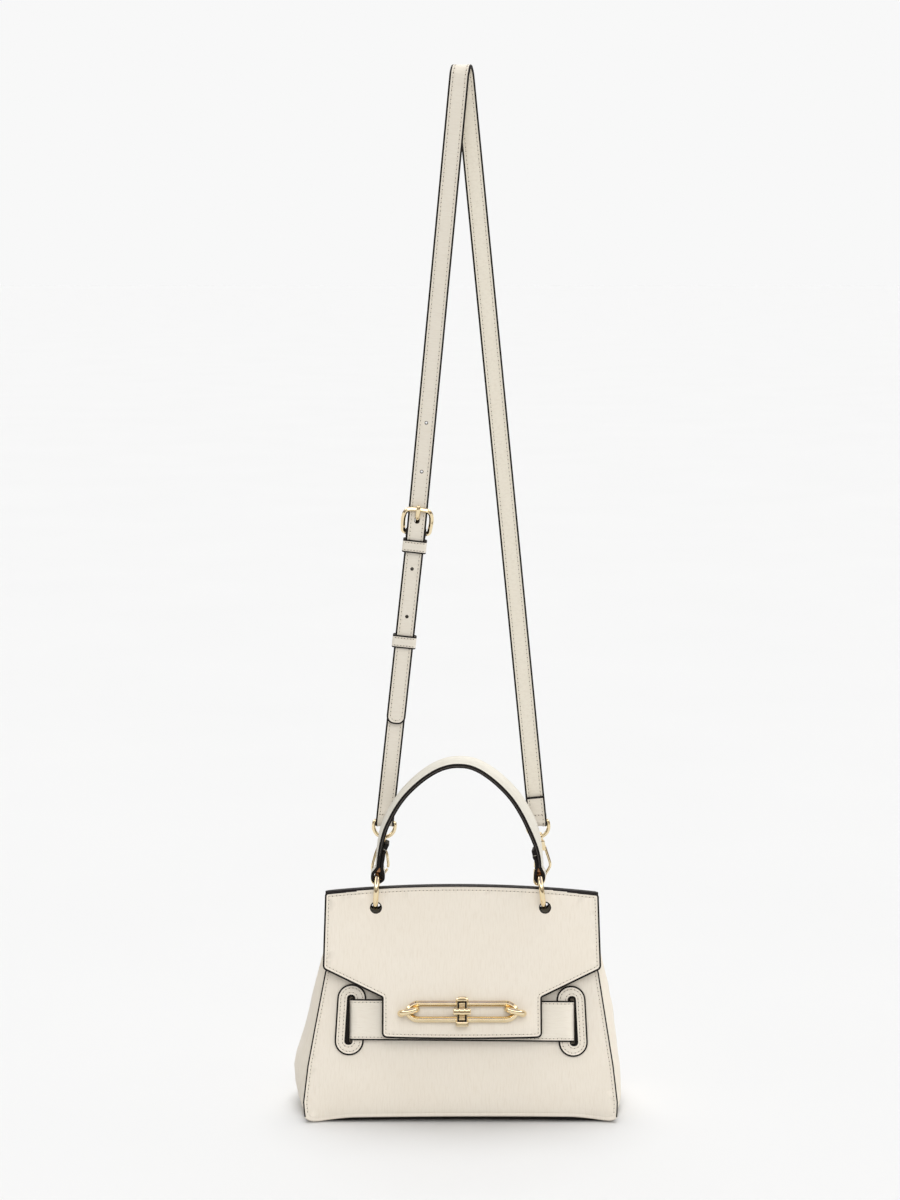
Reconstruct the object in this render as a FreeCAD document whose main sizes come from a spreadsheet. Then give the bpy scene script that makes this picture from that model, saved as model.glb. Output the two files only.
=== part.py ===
import FreeCAD, Part
import math
import os
import sys
import Sketcher
from FreeCAD import Placement, Rotation, Vector as V

# Cream top handle bag: soft A-line body with a flap, belt and turn lock, a round
# top handle on two rings, and a long shoulder strap on two swivel hooks.
# Millimetres. X runs across the bag, Y from front to back, Z up; the origin is
# under the middle of the base.

doc = FreeCAD.newDocument("top_handle_bag")

# ---------------------------------------------------------------- dimensions
sheet = doc.addObject("Spreadsheet::Sheet", "Sizes")
SIZES = [
    # body
    ("base_half_width", 121.0), ("base_half_depth", 48.0), ("base_thick", 3.0),
    ("board_half_width", 112.0), ("board_half_depth", 44.0), ("board_thick", 1.8),
    ("panel_thick", 2.3), ("panel_foot", 49.0), ("panel_low", 4.0), ("panel_slope", 0.29),
    ("panel_half_low", 122.5), ("panel_half_mid", 107.8), ("panel_half_top", 104.3),
    ("panel_mid_up", 113.5), ("panel_top_up", 127.0),
    ("back_half_mid", 110.5), ("back_half_top", 108.3), ("back_slope", 0.268),
    ("seam_back", 2.65), ("seam_front", 3.6), ("seam_height", 177.0),
    ("gusset_thick", 2.0), ("lining_thick", 0.8),
    ("gusset_bulge_low", 128.5), ("gusset_bulge_max", 131.0), ("gusset_bulge_mid", 117.0),
    # flap, measured down its own slope from the middle of the top seam
    ("flap_slope", 0.345), ("flap_thick", 2.7), ("flap_half_top", 108.3), ("flap_half_low", 109.4),
    ("flap_arch", 6.4), ("flap_hinge", 26.4), ("flap_corner", 63.5), ("tab_top", 85.7),
    ("tab_half", 62.8), ("tab_bottom", 118.1), ("lock_down", 96.4),
    # belt and slot patches, measured up the front panel's slope
    ("belt_low", 59.4), ("belt_high", 92.2), ("belt_thick", 2.2), ("belt_stand", 1.8),
    ("slot_centre", 86.5), ("slot_half", 1.9), ("belt_tab", 20.0),
    ("patch_half", 12.5), ("patch_low", 47.9), ("patch_high", 104.1), ("patch_thick", 1.4),
    # lock
    ("lock_plate_half", 5.1), ("lock_plate_rise", 12.2), ("lock_slot_half", 2.75),
    ("lock_slot_rise", 8.3), ("lock_plate_top", 6.0), ("lock_plate_thick", 2.0),
    ("link_wire", 1.75), ("link_rail", 5.5), ("link_half", 42.7),
    ("staple_wire", 1.9), ("staple_span", 5.6), ("boss_radius", 2.3), ("stem_radius", 1.5),
    ("stem_room", 0.05), ("toggle_half", 6.7), ("toggle_rise", 2.7), ("toggle_thick", 4.2),
    ("lock_base_half", 9.0), ("lock_base_rise", 8.8), ("lock_base_thick", 1.1),
    ("washer_thick", 0.5),
    # rings and handle
    ("ring_x", 66.0), ("ring_height", 174.0), ("ring_radius", 13.5), ("ring_wire", 2.0),
    ("ring_hole", 3.7), ("handle_half", 8.5), ("handle_thick", 6.2), ("eye_half", 6.0),
    ("eye_room", 2.4), ("eye_leather", 2.3),
    # strap
    ("strap_width", 15.0), ("strap_thick", 2.4), ("strap_back", 14.5), ("fold_radius", 6.5),
    ("fold_height", 805.5), ("buckle_heel", 457.5), ("buckle_tip", 476.5), ("buckle_half", 11.0),
    ("buckle_wire", 1.5), ("prong_wire", 1.0), ("tail_tip", 306.0), ("strap_hole", 1.5),
    ("keeper_tall", 10.0), ("keeper_wall", 1.3), ("upper_keeper_at", 447.5), ("lower_keeper_at", 372.0),
    # hooks
    ("hook_turn", 50.0), ("hook_bow", 6.2), ("hook_wire", 1.4), ("eye_wire", 1.5), ("eye_bow", 8.4),
    ("barrel_radius", 2.7), ("hook_stem", 1.45), ("pin_radius", 0.8), ("pin_room", 0.05),
]
S = {}
for row, (alias, value) in enumerate(SIZES, start=1):
    sheet.set("A%d" % row, alias)
    sheet.set("B%d" % row, "%g" % value)
    sheet.setAlias("B%d" % row, alias)
doc.recompute()
for alias, _ in SIZES:
    S[alias] = float(getattr(sheet, alias))

PARTS = []


def num(c):
    """A coordinate is a plain number, or (size's name, factor, offset)."""
    return float(c) if not isinstance(c, tuple) else c[1] * S[c[0]] + c[2]


def text(c):
    return "Sizes.%s * %.9g + %.9g" % (c[0], c[1], c[2])


def bind(obj, prop, c):
    if isinstance(c, tuple):
        obj.setExpression(prop, text(c))
    else:
        setattr(obj, prop, c)


def plane_of(body, role):
    return [f for f in body.Origin.OriginFeatures if f.Role == role][0]


def sketch_of(body, name, role):
    sk = body.newObject("Sketcher::SketchObject", name)
    sk.AttachmentSupport = [(plane_of(body, role), "")]
    sk.MapMode = "FlatFace"
    return sk


def loop(sk, points):
    """A closed outline of straight edges, each corner held to the sheet's sizes."""
    n, first = len(points), sk.GeometryCount
    at = [V(num(x), num(y), 0) for x, y in points]
    for i in range(n):
        sk.addGeometry(Part.LineSegment(at[i], at[(i + 1) % n]), False)
    for i in range(n):
        sk.addConstraint(
            Sketcher.Constraint("Coincident", first + i, 2, first + (i + 1) % n, 1)
        )
    for i, (x, y) in enumerate(points):
        for kind, c, axis in (("DistanceX", x, -2), ("DistanceY", y, -1)):
            if abs(num(c)) < 1e-9:
                sk.addConstraint(
                    Sketcher.Constraint("PointOnObject", first + i, 1, axis)
                )
                continue
            k = sk.addConstraint(
                Sketcher.Constraint(kind, -1, 1, first + i, 1, num(c))
            )
            if isinstance(c, tuple):
                sk.setExpression("Constraints[%d]" % k, text(c))


def circle(sk, x, y, r):
    k = sk.addGeometry(Part.Circle(V(num(x), num(y), 0), V(0, 0, 1), num(r)), False)
    for kind, c, axis in (("DistanceX", x, -2), ("DistanceY", y, -1)):
        if abs(num(c)) < 1e-9:
            sk.addConstraint(Sketcher.Constraint("PointOnObject", k, 3, axis))
        else:
            j = sk.addConstraint(Sketcher.Constraint(kind, -1, 1, k, 3, num(c)))
            if isinstance(c, tuple):
                sk.setExpression("Constraints[%d]" % j, text(c))
    j = sk.addConstraint(Sketcher.Constraint("Radius", k, num(r)))
    if isinstance(r, tuple):
        sk.setExpression("Constraints[%d]" % j, text(r))


def padded(label, outline, length, place, role="XZ_Plane", holes=(), rounds=(), back=False, mid=False):
    """A flat piece: an outline, its cut-outs, and a thickness from the sheet."""
    body = doc.addObject("PartDesign::Body", label)
    body.Label = label
    sk = sketch_of(body, label + "_outline", role)
    loop(sk, outline)
    for h in holes:
        loop(sk, h)
    for x, y, r in rounds:
        circle(sk, x, y, r)
    pad = body.newObject("PartDesign::Pad", label + "_pad")
    pad.Profile = sk
    bind(pad, "Length", length)
    pad.Reversed = back
    pad.Midplane = mid
    body.Tip = pad
    body.Placement = place
    PARTS.append(body)
    return body


def feature(label, shape, place=None):
    """A bent or swept piece that no single outline gives."""
    f = doc.addObject("Part::Feature", label)
    f.Label = label
    f.Shape = shape
    f.Placement = place or Placement()
    PARTS.append(f)
    return f


def fused(*shapes):
    out = shapes[0]
    for s in shapes[1:]:
        out = out.fuse(s)
    return out.removeSplitter()


def rod(a, b, r):
    d = b - a
    return Part.makeCylinder(r, d.Length, a, d)


def ball(a, r):
    return Part.makeSphere(r, a)


def block(x0, x1, y0, y1, z0, z1):
    return Part.makeBox(x1 - x0, y1 - y0, z1 - z0, V(x0, y0, z0))


def polyhedron(faces):
    """A closed solid from flat corner lists."""
    made = []
    for f in faces:
        made.append(Part.Face(Part.makePolygon(list(f) + [f[0]])))
    solid = Part.Solid(Part.Shell(made))
    if solid.Volume < 0:
        solid.reverse()
    return solid


# ------------------------------------------------------------- leaning frames
# The front panel leans back from the foot of the base; the flap hangs from the
# top seam at its own, slightly larger, lean. In both frames local -Y is outwards.
panel_lean = math.degrees(math.atan(S["panel_slope"]))
flap_lean = math.degrees(math.atan(S["flap_slope"]))
back_lean = math.degrees(math.atan(S["back_slope"]))
ON_PANEL = Placement(V(0, -S["panel_foot"], S["panel_low"]), Rotation(V(1, 0, 0), -panel_lean))
ON_FLAP = Placement(V(0, -S["seam_front"], S["seam_height"]), Rotation(V(1, 0, 0), -flap_lean))
ON_BACK = Placement(V(0, S["seam_back"], S["seam_height"]), Rotation(V(1, 0, 0), back_lean))


def panel_out(z):
    return -S["panel_foot"] + S["panel_slope"] * (z - S["panel_low"])


def back_out(z):
    return S["seam_back"] + S["back_slope"] * (S["seam_height"] - z)


def shifted(place, y):
    return place.multiply(Placement(V(0, y, 0), Rotation()))


# --------------------------------------------------------------------- base
base = doc.addObject("Part::Box", "base_panel")
base.Label = "base_panel"
base.setExpression("Length", "Sizes.base_half_width * 2")
base.setExpression("Width", "Sizes.base_half_depth * 2")
base.setExpression("Height", "Sizes.base_thick")
base.Placement = Placement(V(-S["base_half_width"], -S["base_half_depth"], 0), Rotation())
PARTS.append(base)

board = doc.addObject("Part::Box", "base_board")
board.Label = "base_board"
board.setExpression("Length", "Sizes.board_half_width * 2")
board.setExpression("Width", "Sizes.board_half_depth * 2")
board.setExpression("Height", "Sizes.board_thick")
board.Placement = Placement(
    V(-S["board_half_width"], -S["board_half_depth"], S["base_thick"] + 0.1), Rotation()
)
PARTS.append(board)

# ------------------------------------------------------------- front and back
slot_low, slot_high = ("belt_low", 1, -0.5), ("belt_high", 1, 0.5)


def slot(side):
    return [
        (("slot_centre", side, -S["slot_half"]), slot_low),
        (("slot_centre", side, S["slot_half"]), slot_low),
        (("slot_centre", side, S["slot_half"]), slot_high),
        (("slot_centre", side, -S["slot_half"]), slot_high),
    ]


padded(
    "front_panel",
    [
        (("panel_half_low", -1, 0), 0.0),
        (("panel_half_low", 1, 0), 0.0),
        (("panel_half_mid", 1, 0), ("panel_mid_up", 1, 0)),
        (("panel_half_top", 1, 0), ("panel_top_up", 1, 0)),
        (("panel_half_top", -1, 0), ("panel_top_up", 1, 0)),
        (("panel_half_mid", -1, 0), ("panel_mid_up", 1, 0)),
    ],
    ("panel_thick", 1, 0),
    ON_PANEL,
    holes=[slot(-1), slot(1)],
    back=True,
)

ARCH = [1.0, 0.75, 0.5, 0.25, 0.0, -0.25, -0.5, -0.75, -1.0]


def arched_top():
    return [(("flap_half_top", t, 0), ("flap_arch", -t * t, 0)) for t in ARCH]


back_foot = -(S["seam_height"] - S["panel_low"]) / math.cos(math.radians(back_lean))
ring_up_back = -(S["seam_height"] - 161.6) / math.cos(math.radians(back_lean))
padded(
    "back_panel",
    [
        (("panel_half_low", -1, 0), back_foot),
        (("panel_half_low", 1, 0), back_foot),
        (("back_half_mid", 1, 0), -66.0),
    ]
    + arched_top()
    + [(("back_half_mid", -1, 0), -66.0)],
    ("panel_thick", 1, 0),
    ON_BACK,
    rounds=[
        (("ring_x", -1, 0), ring_up_back, ("ring_hole", 1, 0)),
        (("ring_x", 1, 0), ring_up_back, ("ring_hole", 1, 0)),
    ],
)

# ----------------------------------------------------------------- gussets
ROWS = [S["panel_low"], 40.0, 113.0, 144.0]
EDGE_X = [119.5, 114.6, 104.8, 96.6]
MID_X = [S["gusset_bulge_low"], S["gusset_bulge_max"], S["gusset_bulge_mid"], 100.0]
BACK_X = [119.5, 116.0, 107.5, 104.5]


def gusset(side, inward, thick, room):
    """Side panel folded along its middle so that it stands out over the base."""
    depth = S["panel_thick"] / math.cos(math.radians(panel_lean)) + room
    rows = []
    for z, e, m, b in zip(ROWS, EDGE_X, MID_X, BACK_X):
        rows.append(
            [
                V(side * (e - inward), panel_out(z) + depth, z),
                V(side * (m - inward), 0, z),
                V(side * (b - inward), back_out(z) - depth, z),
            ]
        )
    shift = V(-side * thick, 0, 0)
    inner = [[p + shift for p in r] for r in rows]
    faces = []
    for i in range(len(rows) - 1):
        for j in range(2):
            a, b, c, d = rows[i][j], rows[i][j + 1], rows[i + 1][j + 1], rows[i + 1][j]
            faces += [[a, b, c], [a, c, d]]
            a, b, c, d = inner[i][j], inner[i][j + 1], inner[i + 1][j + 1], inner[i + 1][j]
            faces += [[a, c, b], [a, d, c]]
        for j in (0, 2):
            faces.append([rows[i][j], rows[i + 1][j], inner[i + 1][j], inner[i][j]])
    for i in (0, len(rows) - 1):
        for j in range(2):
            faces.append([rows[i][j], inner[i][j], inner[i][j + 1], rows[i][j + 1]])
    return polyhedron(faces)


feature("left_gusset", gusset(-1, 0.0, S["gusset_thick"], 0.15))
feature("right_gusset", gusset(1, 0.0, S["gusset_thick"], 0.15))

# ------------------------------------------------------------------- lining
LINING_IN = 4.9
feature("left_lining", gusset(-1, S["gusset_thick"] + 2.4, S["lining_thick"], 4.2))
feature("right_lining", gusset(1, S["gusset_thick"] + 2.4, S["lining_thick"], 4.2))
padded(
    "front_lining",
    [(-112.0, 3.0), (112.0, 3.0), (("panel_half_mid", 1, -9.0), ("panel_mid_up", 1, 0)),
     (("panel_half_top", 1, -9.0), ("panel_top_up", 1, -2.0)),
     (("panel_half_top", -1, 9.0), ("panel_top_up", 1, -2.0)),
     (("panel_half_mid", -1, 9.0), ("panel_mid_up", 1, 0))],
    ("lining_thick", 1, 0),
    shifted(ON_PANEL, LINING_IN),
    back=True,
)
padded(
    "back_lining",
    [(-112.0, back_foot + 3.0), (112.0, back_foot + 3.0), (("back_half_mid", 1, -9.0), -66.0),
     (("back_half_top", 1, -12.0), -34.0), (("back_half_top", -1, 12.0), -34.0),
     (("back_half_mid", -1, 9.0), -66.0)],
    ("lining_thick", 1, 0),
    shifted(ON_BACK, -(S["panel_thick"] + 0.2)),
)

# -------------------------------------------------------------- slot patches
for side, name in ((-1, "left_slot_patch"), (1, "right_slot_patch")):
    r, mid_low, mid_high = S["patch_half"], S["patch_low"] + S["patch_half"], S["patch_high"] - S["patch_half"]
    ring = []
    for k in range(9):
        t = math.radians(180 * k / 8)
        ring.append((("slot_centre", side, r * math.cos(t)), ("patch_high", 1, -r + r * math.sin(t))))
    for k in range(9):
        t = math.radians(180 + 180 * k / 8)
        ring.append((("slot_centre", side, r * math.cos(t)), ("patch_low", 1, r + r * math.sin(t))))
    padded(name, ring, ("patch_thick", 1, 0), shifted(ON_PANEL, -0.1), holes=[slot(side)])

# --------------------------------------------------------------------- belt
# Seen along its height: a flat run over the patches, turned in through both
# slots and sewn flat behind the front panel. Local -Y is outwards.
so, th = S["belt_stand"], S["belt_thick"]
inside = S["panel_thick"] + 0.2
turn = ("slot_centre", 1, 1.1)
turn_in = ("slot_centre", 1, -1.1)
tab = ("slot_centre", 1, -S["belt_tab"])


def neg(c):
    return (c[0], -c[1], -c[2])


front_face, back_face = ("belt_stand", -1, -th), ("belt_stand", -1, 0)
padded(
    "front_belt",
    [
        (neg(turn), front_face),
        (turn, front_face),
        (turn, inside + th),
        (tab, inside + th),
        (tab, inside),
        (turn_in, inside),
        (turn_in, back_face),
        (neg(turn_in), back_face),
        (neg(turn_in), inside),
        (neg(tab), inside),
        (neg(tab), inside + th),
        (neg(turn), inside + th),
    ],
    ("belt_high", 1, -S["belt_low"]),
    ON_PANEL.multiply(Placement(V(0, 0, S["belt_low"]), Rotation())),
    role="XY_Plane",
)

# --------------------------------------------------------------------- flap
padded(
    "flap_top_band",
    [(("flap_half_low", -1, 0.6), ("flap_hinge", -1, 0)), (("flap_half_low", 1, -0.6), ("flap_hinge", -1, 0))]
    + arched_top(),
    ("flap_thick", 1, 0),
    ON_FLAP,
    rounds=[
        (("ring_x", -1, 0), -(S["seam_height"] - 162.1) / math.cos(math.radians(flap_lean)), ("ring_hole", 1, 0)),
        (("ring_x", 1, 0), -(S["seam_height"] - 162.1) / math.cos(math.radians(flap_lean)), ("ring_hole", 1, 0)),
    ],
    back=True,
)
lock_slot = [
    (("lock_slot_half", -1, -0.4), ("lock_down", -1, -S["lock_slot_rise"])),
    (("lock_slot_half", 1, 0.4), ("lock_down", -1, -S["lock_slot_rise"])),
    (("lock_slot_half", 1, 0.4), ("lock_down", -1, S["lock_slot_rise"])),
    (("lock_slot_half", -1, -0.4), ("lock_down", -1, S["lock_slot_rise"])),
]
padded(
    "flap",
    [
        (("flap_half_low", -1, 0.6), ("flap_hinge", -1, -0.3)),
        (("flap_half_low", 1, -0.6), ("flap_hinge", -1, -0.3)),
        (("flap_half_low", 1, 0), ("flap_corner", -1, 5.0)),
        (("flap_half_low", 1, -1.5), ("flap_corner", -1, 1.0)),
        (("flap_half_low", 1, -5.0), ("flap_corner", -1, -2.4)),
        (("tab_half", 1, 0), ("tab_top", -1, 0)),
        (("tab_half", 1, 0), ("tab_bottom", -1, 2.5)),
        (("tab_half", 1, -2.5), ("tab_bottom", -1, 0)),
        (("tab_half", -1, 2.5), ("tab_bottom", -1, 0)),
        (("tab_half", -1, 0), ("tab_bottom", -1, 2.5)),
        (("tab_half", -1, 0), ("tab_top", -1, 0)),
        (("flap_half_low", -1, 5.0), ("flap_corner", -1, -2.4)),
        (("flap_half_low", -1, 1.5), ("flap_corner", -1, 1.0)),
        (("flap_half_low", -1, 0), ("flap_corner", -1, 5.0)),
    ],
    ("flap_thick", 1, 0),
    ON_FLAP,
    holes=[lock_slot],
    back=True,
)

# --------------------------------------------------------------------- lock
ON_LOCK = ON_FLAP.multiply(Placement(V(0, 0, -S["lock_down"]), Rotation()))

# slotted plate that bridges the link on two feet, with a domed cap at each end
ph, pr, top, pt = S["lock_plate_half"], S["lock_plate_rise"], S["lock_plate_top"], S["lock_plate_thick"]
plate = block(-ph, ph, -top, -top + pt, -pr, pr)
for end in (-1, 1):
    z0, z1 = sorted((end * (pr - 4.2), end * pr))
    plate = plate.fuse(block(-ph, ph, -top - 0.6, 0, z0, z1))
plate = plate.cut(
    block(-S["lock_slot_half"], S["lock_slot_half"], -20, 10, -S["lock_slot_rise"] + 0.9, S["lock_slot_rise"] - 0.9)
)
plate = plate.removeSplitter()
feature("lock_plate", plate.makeFillet(0.45, [e for e in plate.Edges if e.BoundBox.YMax < -top - 0.55]), ON_LOCK)

padded(
    "lock_washer",
    [(-8.5, -13.0), (8.5, -13.0), (8.5, 13.0), (-8.5, 13.0)],
    ("washer_thick", 1, 0),
    shifted(ON_LOCK, S["flap_thick"] + 0.05),
    holes=[[(("lock_slot_half", -1, -0.4), ("lock_slot_rise", -1, 0)), (("lock_slot_half", 1, 0.4), ("lock_slot_rise", -1, 0)),
            (("lock_slot_half", 1, 0.4), ("lock_slot_rise", 1, 0)), (("lock_slot_half", -1, -0.4), ("lock_slot_rise", 1, 0))]],
    back=True,
)

lw, lr, lh = S["link_wire"], S["link_rail"], S["link_half"]
straight = lh - lr
lift = -lw - 0.1


def half_bow(centre, radius, wire, towards):
    """Half a ring in the local XZ plane that bows towards +-X or +-Z."""
    s = Part.makeTorus(radius, wire, V(0, 0, 0), V(0, 0, 1), 0, 360, 180)
    # made in XY bowing to +Y; laid into XZ bowing to +Z, then turned about Y
    s = s.copy()
    s.rotate(V(0, 0, 0), V(1, 0, 0), 90)
    s.rotate(V(0, 0, 0), V(0, 1, 0), {"+Z": 0, "+X": 90, "-Z": 180, "-X": 270}[towards])
    s.translate(centre)
    return s


link = fused(
    rod(V(-straight, lift, lr), V(straight, lift, lr), lw),
    half_bow(V(straight, lift, 0), lr, lw, "+X"),
    rod(V(straight, lift, -lr), V(-straight, lift, -lr), lw),
    half_bow(V(-straight, lift, 0), lr, lw, "-X"),
)
feature("oval_link", link, ON_LOCK)

sw, ss = S["staple_wire"], S["staple_span"]
for side, name in ((-1, "left_link_staple"), (1, "right_link_staple")):
    arch = Part.makeTorus(ss, sw, V(0, 0, 0), V(0, 0, 1), 0, 360, 180)
    arch.rotate(V(0, 0, 0), V(0, 0, 1), 180)
    arch.translate(V(side * lh, -1.0, 0))
    legs = [rod(V(side * lh + k * ss, -0.05, 0), V(side * lh + k * ss, -1.0, 0), sw) for k in (-1, 1)]
    feature(name, fused(arch, *legs), ON_LOCK)

# base plate on the belt, with a bored boss that stands through belt and flap
foot_t = 5.6
normal = ON_LOCK.Rotation.multVec(V(0, -1, 0))
lock_at = ON_LOCK.Base
inv_panel = ON_PANEL.inverse()
boss_foot = lock_at - normal * foot_t
local_foot = inv_panel.multVec(boss_foot)
seat = -(S["belt_stand"] + S["belt_thick"] + 0.05)
base_plate = block(
    -S["lock_base_half"], S["lock_base_half"], seat - S["lock_base_thick"], seat,
    local_foot.z - S["lock_base_rise"], local_foot.z + S["lock_base_rise"],
)
boss = Part.makeCylinder(S["boss_radius"], 12.0, V(0, 0, 0), V(0, -1, 0))
bore = Part.makeCylinder(S["stem_radius"] + S["stem_room"], 20, V(0, -3.4, 0), V(0, -1, 0))
to_panel = inv_panel.multiply(Placement(lock_at - normal * 7.0, ON_LOCK.Rotation))
boss.Placement = to_panel
bore.Placement = to_panel
under = block(-20, 20, seat, seat + 20, local_foot.z - 30, local_foot.z + 30)
feature("lock_base", base_plate.fuse(boss).cut(bore).cut(under).removeSplitter(), ON_PANEL)

# turning bar with three ribs, on a stem in the boss
tb, tr, tt = S["toggle_half"], S["toggle_rise"], S["toggle_thick"]
y0 = -top - 0.9
bar = block(-tb, tb, y0 - tt, y0, -tr, tr)
bar = bar.makeFillet(1.2, [e for e in bar.Edges if e.BoundBox.YMax < y0 - tt + 0.01])
for x in (-3.4, 0.0, 3.4):
    bar = bar.cut(block(x - 0.35, x + 0.35, y0 - tt - 1, y0 - tt + 0.4, -tr - 1, tr + 1))
toggle = bar.fuse(rod(V(0, y0 - 0.6, 0), V(0, 2.6, 0), S["stem_radius"])).removeSplitter()
feature("lock_toggle", toggle, ON_LOCK)

# --------------------------------------------------------------------- rings
for side, name in ((-1, "left_ring"), (1, "right_ring")):
    ring = doc.addObject("Part::Torus", name)
    ring.Label = name
    ring.setExpression("Radius1", "Sizes.ring_radius")
    ring.setExpression("Radius2", "Sizes.ring_wire")
    ring.Placement = Placement(V(side * S["ring_x"], 0, S["ring_height"]), Rotation(V(0, 1, 0), 90))
    PARTS.append(ring)

# -------------------------------------------------------------------- handle
# The arch's inner edge, from the foot of one leg over the top to the other.
INNER = [(63.9, 204.5), (60.3, 219.0), (52.6, 234.2), (43.6, 246.8), (34.6, 256.0), (22.8, 265.6),
         (11.0, 272.6), (0.0, 275.2)]
inner = INNER + [(-x, z) for x, z in reversed(INNER[:-1])]
outer = []
for i, (x, z) in enumerate(inner):
    a, b = inner[max(i - 1, 0)], inner[min(i + 1, len(inner) - 1)]
    d = math.hypot(b[0] - a[0], b[1] - a[1])
    nx, nz = (b[1] - a[1]) / d, -(b[0] - a[0]) / d
    outer.append((x + nx * S["handle_thick"], z + nz * S["handle_thick"]))
padded("handle", inner + list(reversed(outer)), ("handle_half", 2, 0), Placement(), mid=True)

# turned-back ends: a tall eye round each ring, closing to a flat tongue above
zt = S["ring_height"] + S["ring_radius"]
er, el = S["eye_room"], S["eye_leather"]
low, high = zt - 4.0 + er, zt + 2.6 - er


def arc_points(cx, cz, r, a0, a1, n):
    return [
        (cx + r * math.cos(math.radians(a0 + (a1 - a0) * k / n)), cz + r * math.sin(math.radians(a0 + (a1 - a0) * k / n)))
        for k in range(n + 1)
    ]


for side, name in ((-1, "left_handle_end"), (1, "right_handle_end")):
    cx = side * S["ring_x"]
    eye_hole = arc_points(cx, low, er, 180, 360, 8) + arc_points(cx, high, er, 0, 180, 8)
    foot = arc_points(cx, low, er + el, 180, 360, 10)
    a, b = inner[0] if side > 0 else inner[-1], outer[0] if side > 0 else outer[-1]
    lift_x, lift_z = 0.0, -0.15
    ends = [b, a] if side > 0 else [a, b]
    ends = [(x + lift_x, z + lift_z) for x, z in ends]
    shape = foot + [(cx + er + el - 0.6, 193.0), (ends[0][0], ends[0][1]), (ends[1][0], ends[1][1]), (cx - er - el + 0.6, 193.0)]
    padded(name, shape, ("eye_half", 2, 0), Placement(), holes=[eye_hole], mid=True)

# --------------------------------------------------------------------- strap
phi = math.radians(S["hook_turn"])
HOOK_Y = S["ring_radius"] * math.sin(phi)
HOOK_Z = S["ring_height"] + S["ring_radius"] * math.cos(phi)
BAR_Z = 226.0


def short_line(z):
    return V(-61.3 + 0.1095 * (z - BAR_Z), S["strap_back"], z)


def rear_line(z):
    top_x, t = 1.6, (z - BAR_Z) / (S["fold_height"] - BAR_Z)
    return V(60.1 + (top_x - 60.1) * t, S["strap_back"] + (FOLD_Y + S["fold_radius"] - S["strap_back"]) * t, z)


FOLD_Y = 13.0


def strip(points, width, thick):
    """A flat strap along points; its width lies across the bag."""
    wires = []
    for i, p in enumerate(points):
        a, b = points[max(i - 1, 0)], points[min(i + 1, len(points) - 1)]
        d = b.sub(a)
        d.normalize()
        side = V(d.z, 0, -d.x)
        if side.x < 0:
            side = side * -1
        side.normalize()
        n = d.cross(side)
        n.normalize()
        c = [p + side * (sx * width / 2) + n * (sy * thick / 2) for sx, sy in ((-1, -1), (1, -1), (1, 1), (-1, 1))]
        wires.append(Part.makePolygon(c + [c[0]]))
    return Part.makeLoft(wires, True, True)


W, T = S["strap_width"], S["strap_thick"]
bar_left, bar_right = short_line(BAR_Z), V(60.1, S["strap_back"], BAR_Z)

# hook frames: local Z runs from the ring to the bar of the D-shaped eye
FRAMES = {}
for side, bar in ((-1, bar_left), (1, bar_right)):
    origin = V(side * S["ring_x"], HOOK_Y, HOOK_Z)
    z_axis = bar.sub(origin)
    BAR_AT = z_axis.Length
    z_axis.normalize()
    x_axis = V(1, 0, 0) - z_axis * z_axis.x
    x_axis.normalize()
    y_axis = z_axis.cross(x_axis)
    m = FreeCAD.Matrix(
        x_axis.x, y_axis.x, z_axis.x, origin.x,
        x_axis.y, y_axis.y, z_axis.y, origin.y,
        x_axis.z, y_axis.z, z_axis.z, origin.z,
        0, 0, 0, 1,
    )
    FRAMES[side] = (Placement(m), BAR_AT)

# long strap: front run with the free tail, fold at the top, rear run
heel, tip = S["buckle_heel"], S["buckle_tip"]


def front_line(z):
    x0 = short_line(heel).x
    t = (z - heel) / (S["fold_height"] - heel)
    return x0 + (-2.4 - x0) * t


front_points = [
    V(-2.4, FOLD_Y - S["fold_radius"], S["fold_height"]),
    V(front_line(tip + 6), 11.1, tip + 6),
    V(front_line(tip - 4), 10.9, tip - 4),
    V(short_line(heel).x, 9.0, heel),
    V(short_line(425).x, 11.2, 425.0),
    V(short_line(S["tail_tip"]).x, 11.3, S["tail_tip"]),
]
HOLE_Z = heel + 10.5
front_run = strip(front_points, W, T)
strand = V(0.0966, 0, 1.0)
strand.normalize()
HOLES = [HOLE_Z, HOLE_Z + 38, HOLE_Z + 76, HOLE_Z - 38, HOLE_Z - 76]
for k, z in enumerate(HOLES):
    x = front_line(z) if z > heel else short_line(z).x
    if k:
        front_run = front_run.cut(Part.makeCylinder(1.2, 14, V(x, 4.5, z), V(0, 1, 0)))
    else:
        # the prong comes through at a slant, so it has drawn its hole out long
        drawn = block(-S["strap_hole"], S["strap_hole"], -12, 2, 2.6, 15.4)
        drawn.Placement = Placement(short_line(heel), Rotation(V(0, 1, 0), math.degrees(math.atan(0.1095))))
        front_run = front_run.cut(drawn)
above = block(-200, 200, -100, 100, tip + 6, 900)
feature("strap_front_run", front_run.common(above))
feature("strap_tail", front_run.cut(above))

ro, ri = S["fold_radius"] + T / 2, S["fold_radius"] - T / 2
cut = 0.02
fold = Part.makeCylinder(ro, W, V(-0.4 - W / 2, FOLD_Y, S["fold_height"] + cut), V(1, 0, 0))
fold = fold.cut(Part.makeCylinder(ri, W + 4, V(-2.4 - W / 2, FOLD_Y, S["fold_height"] + cut), V(1, 0, 0)))
fold = fold.common(block(-40, 40, FOLD_Y - 20, FOLD_Y + 20, S["fold_height"] + 0.35, S["fold_height"] + 30))
feature("strap_top_fold", fold)


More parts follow.
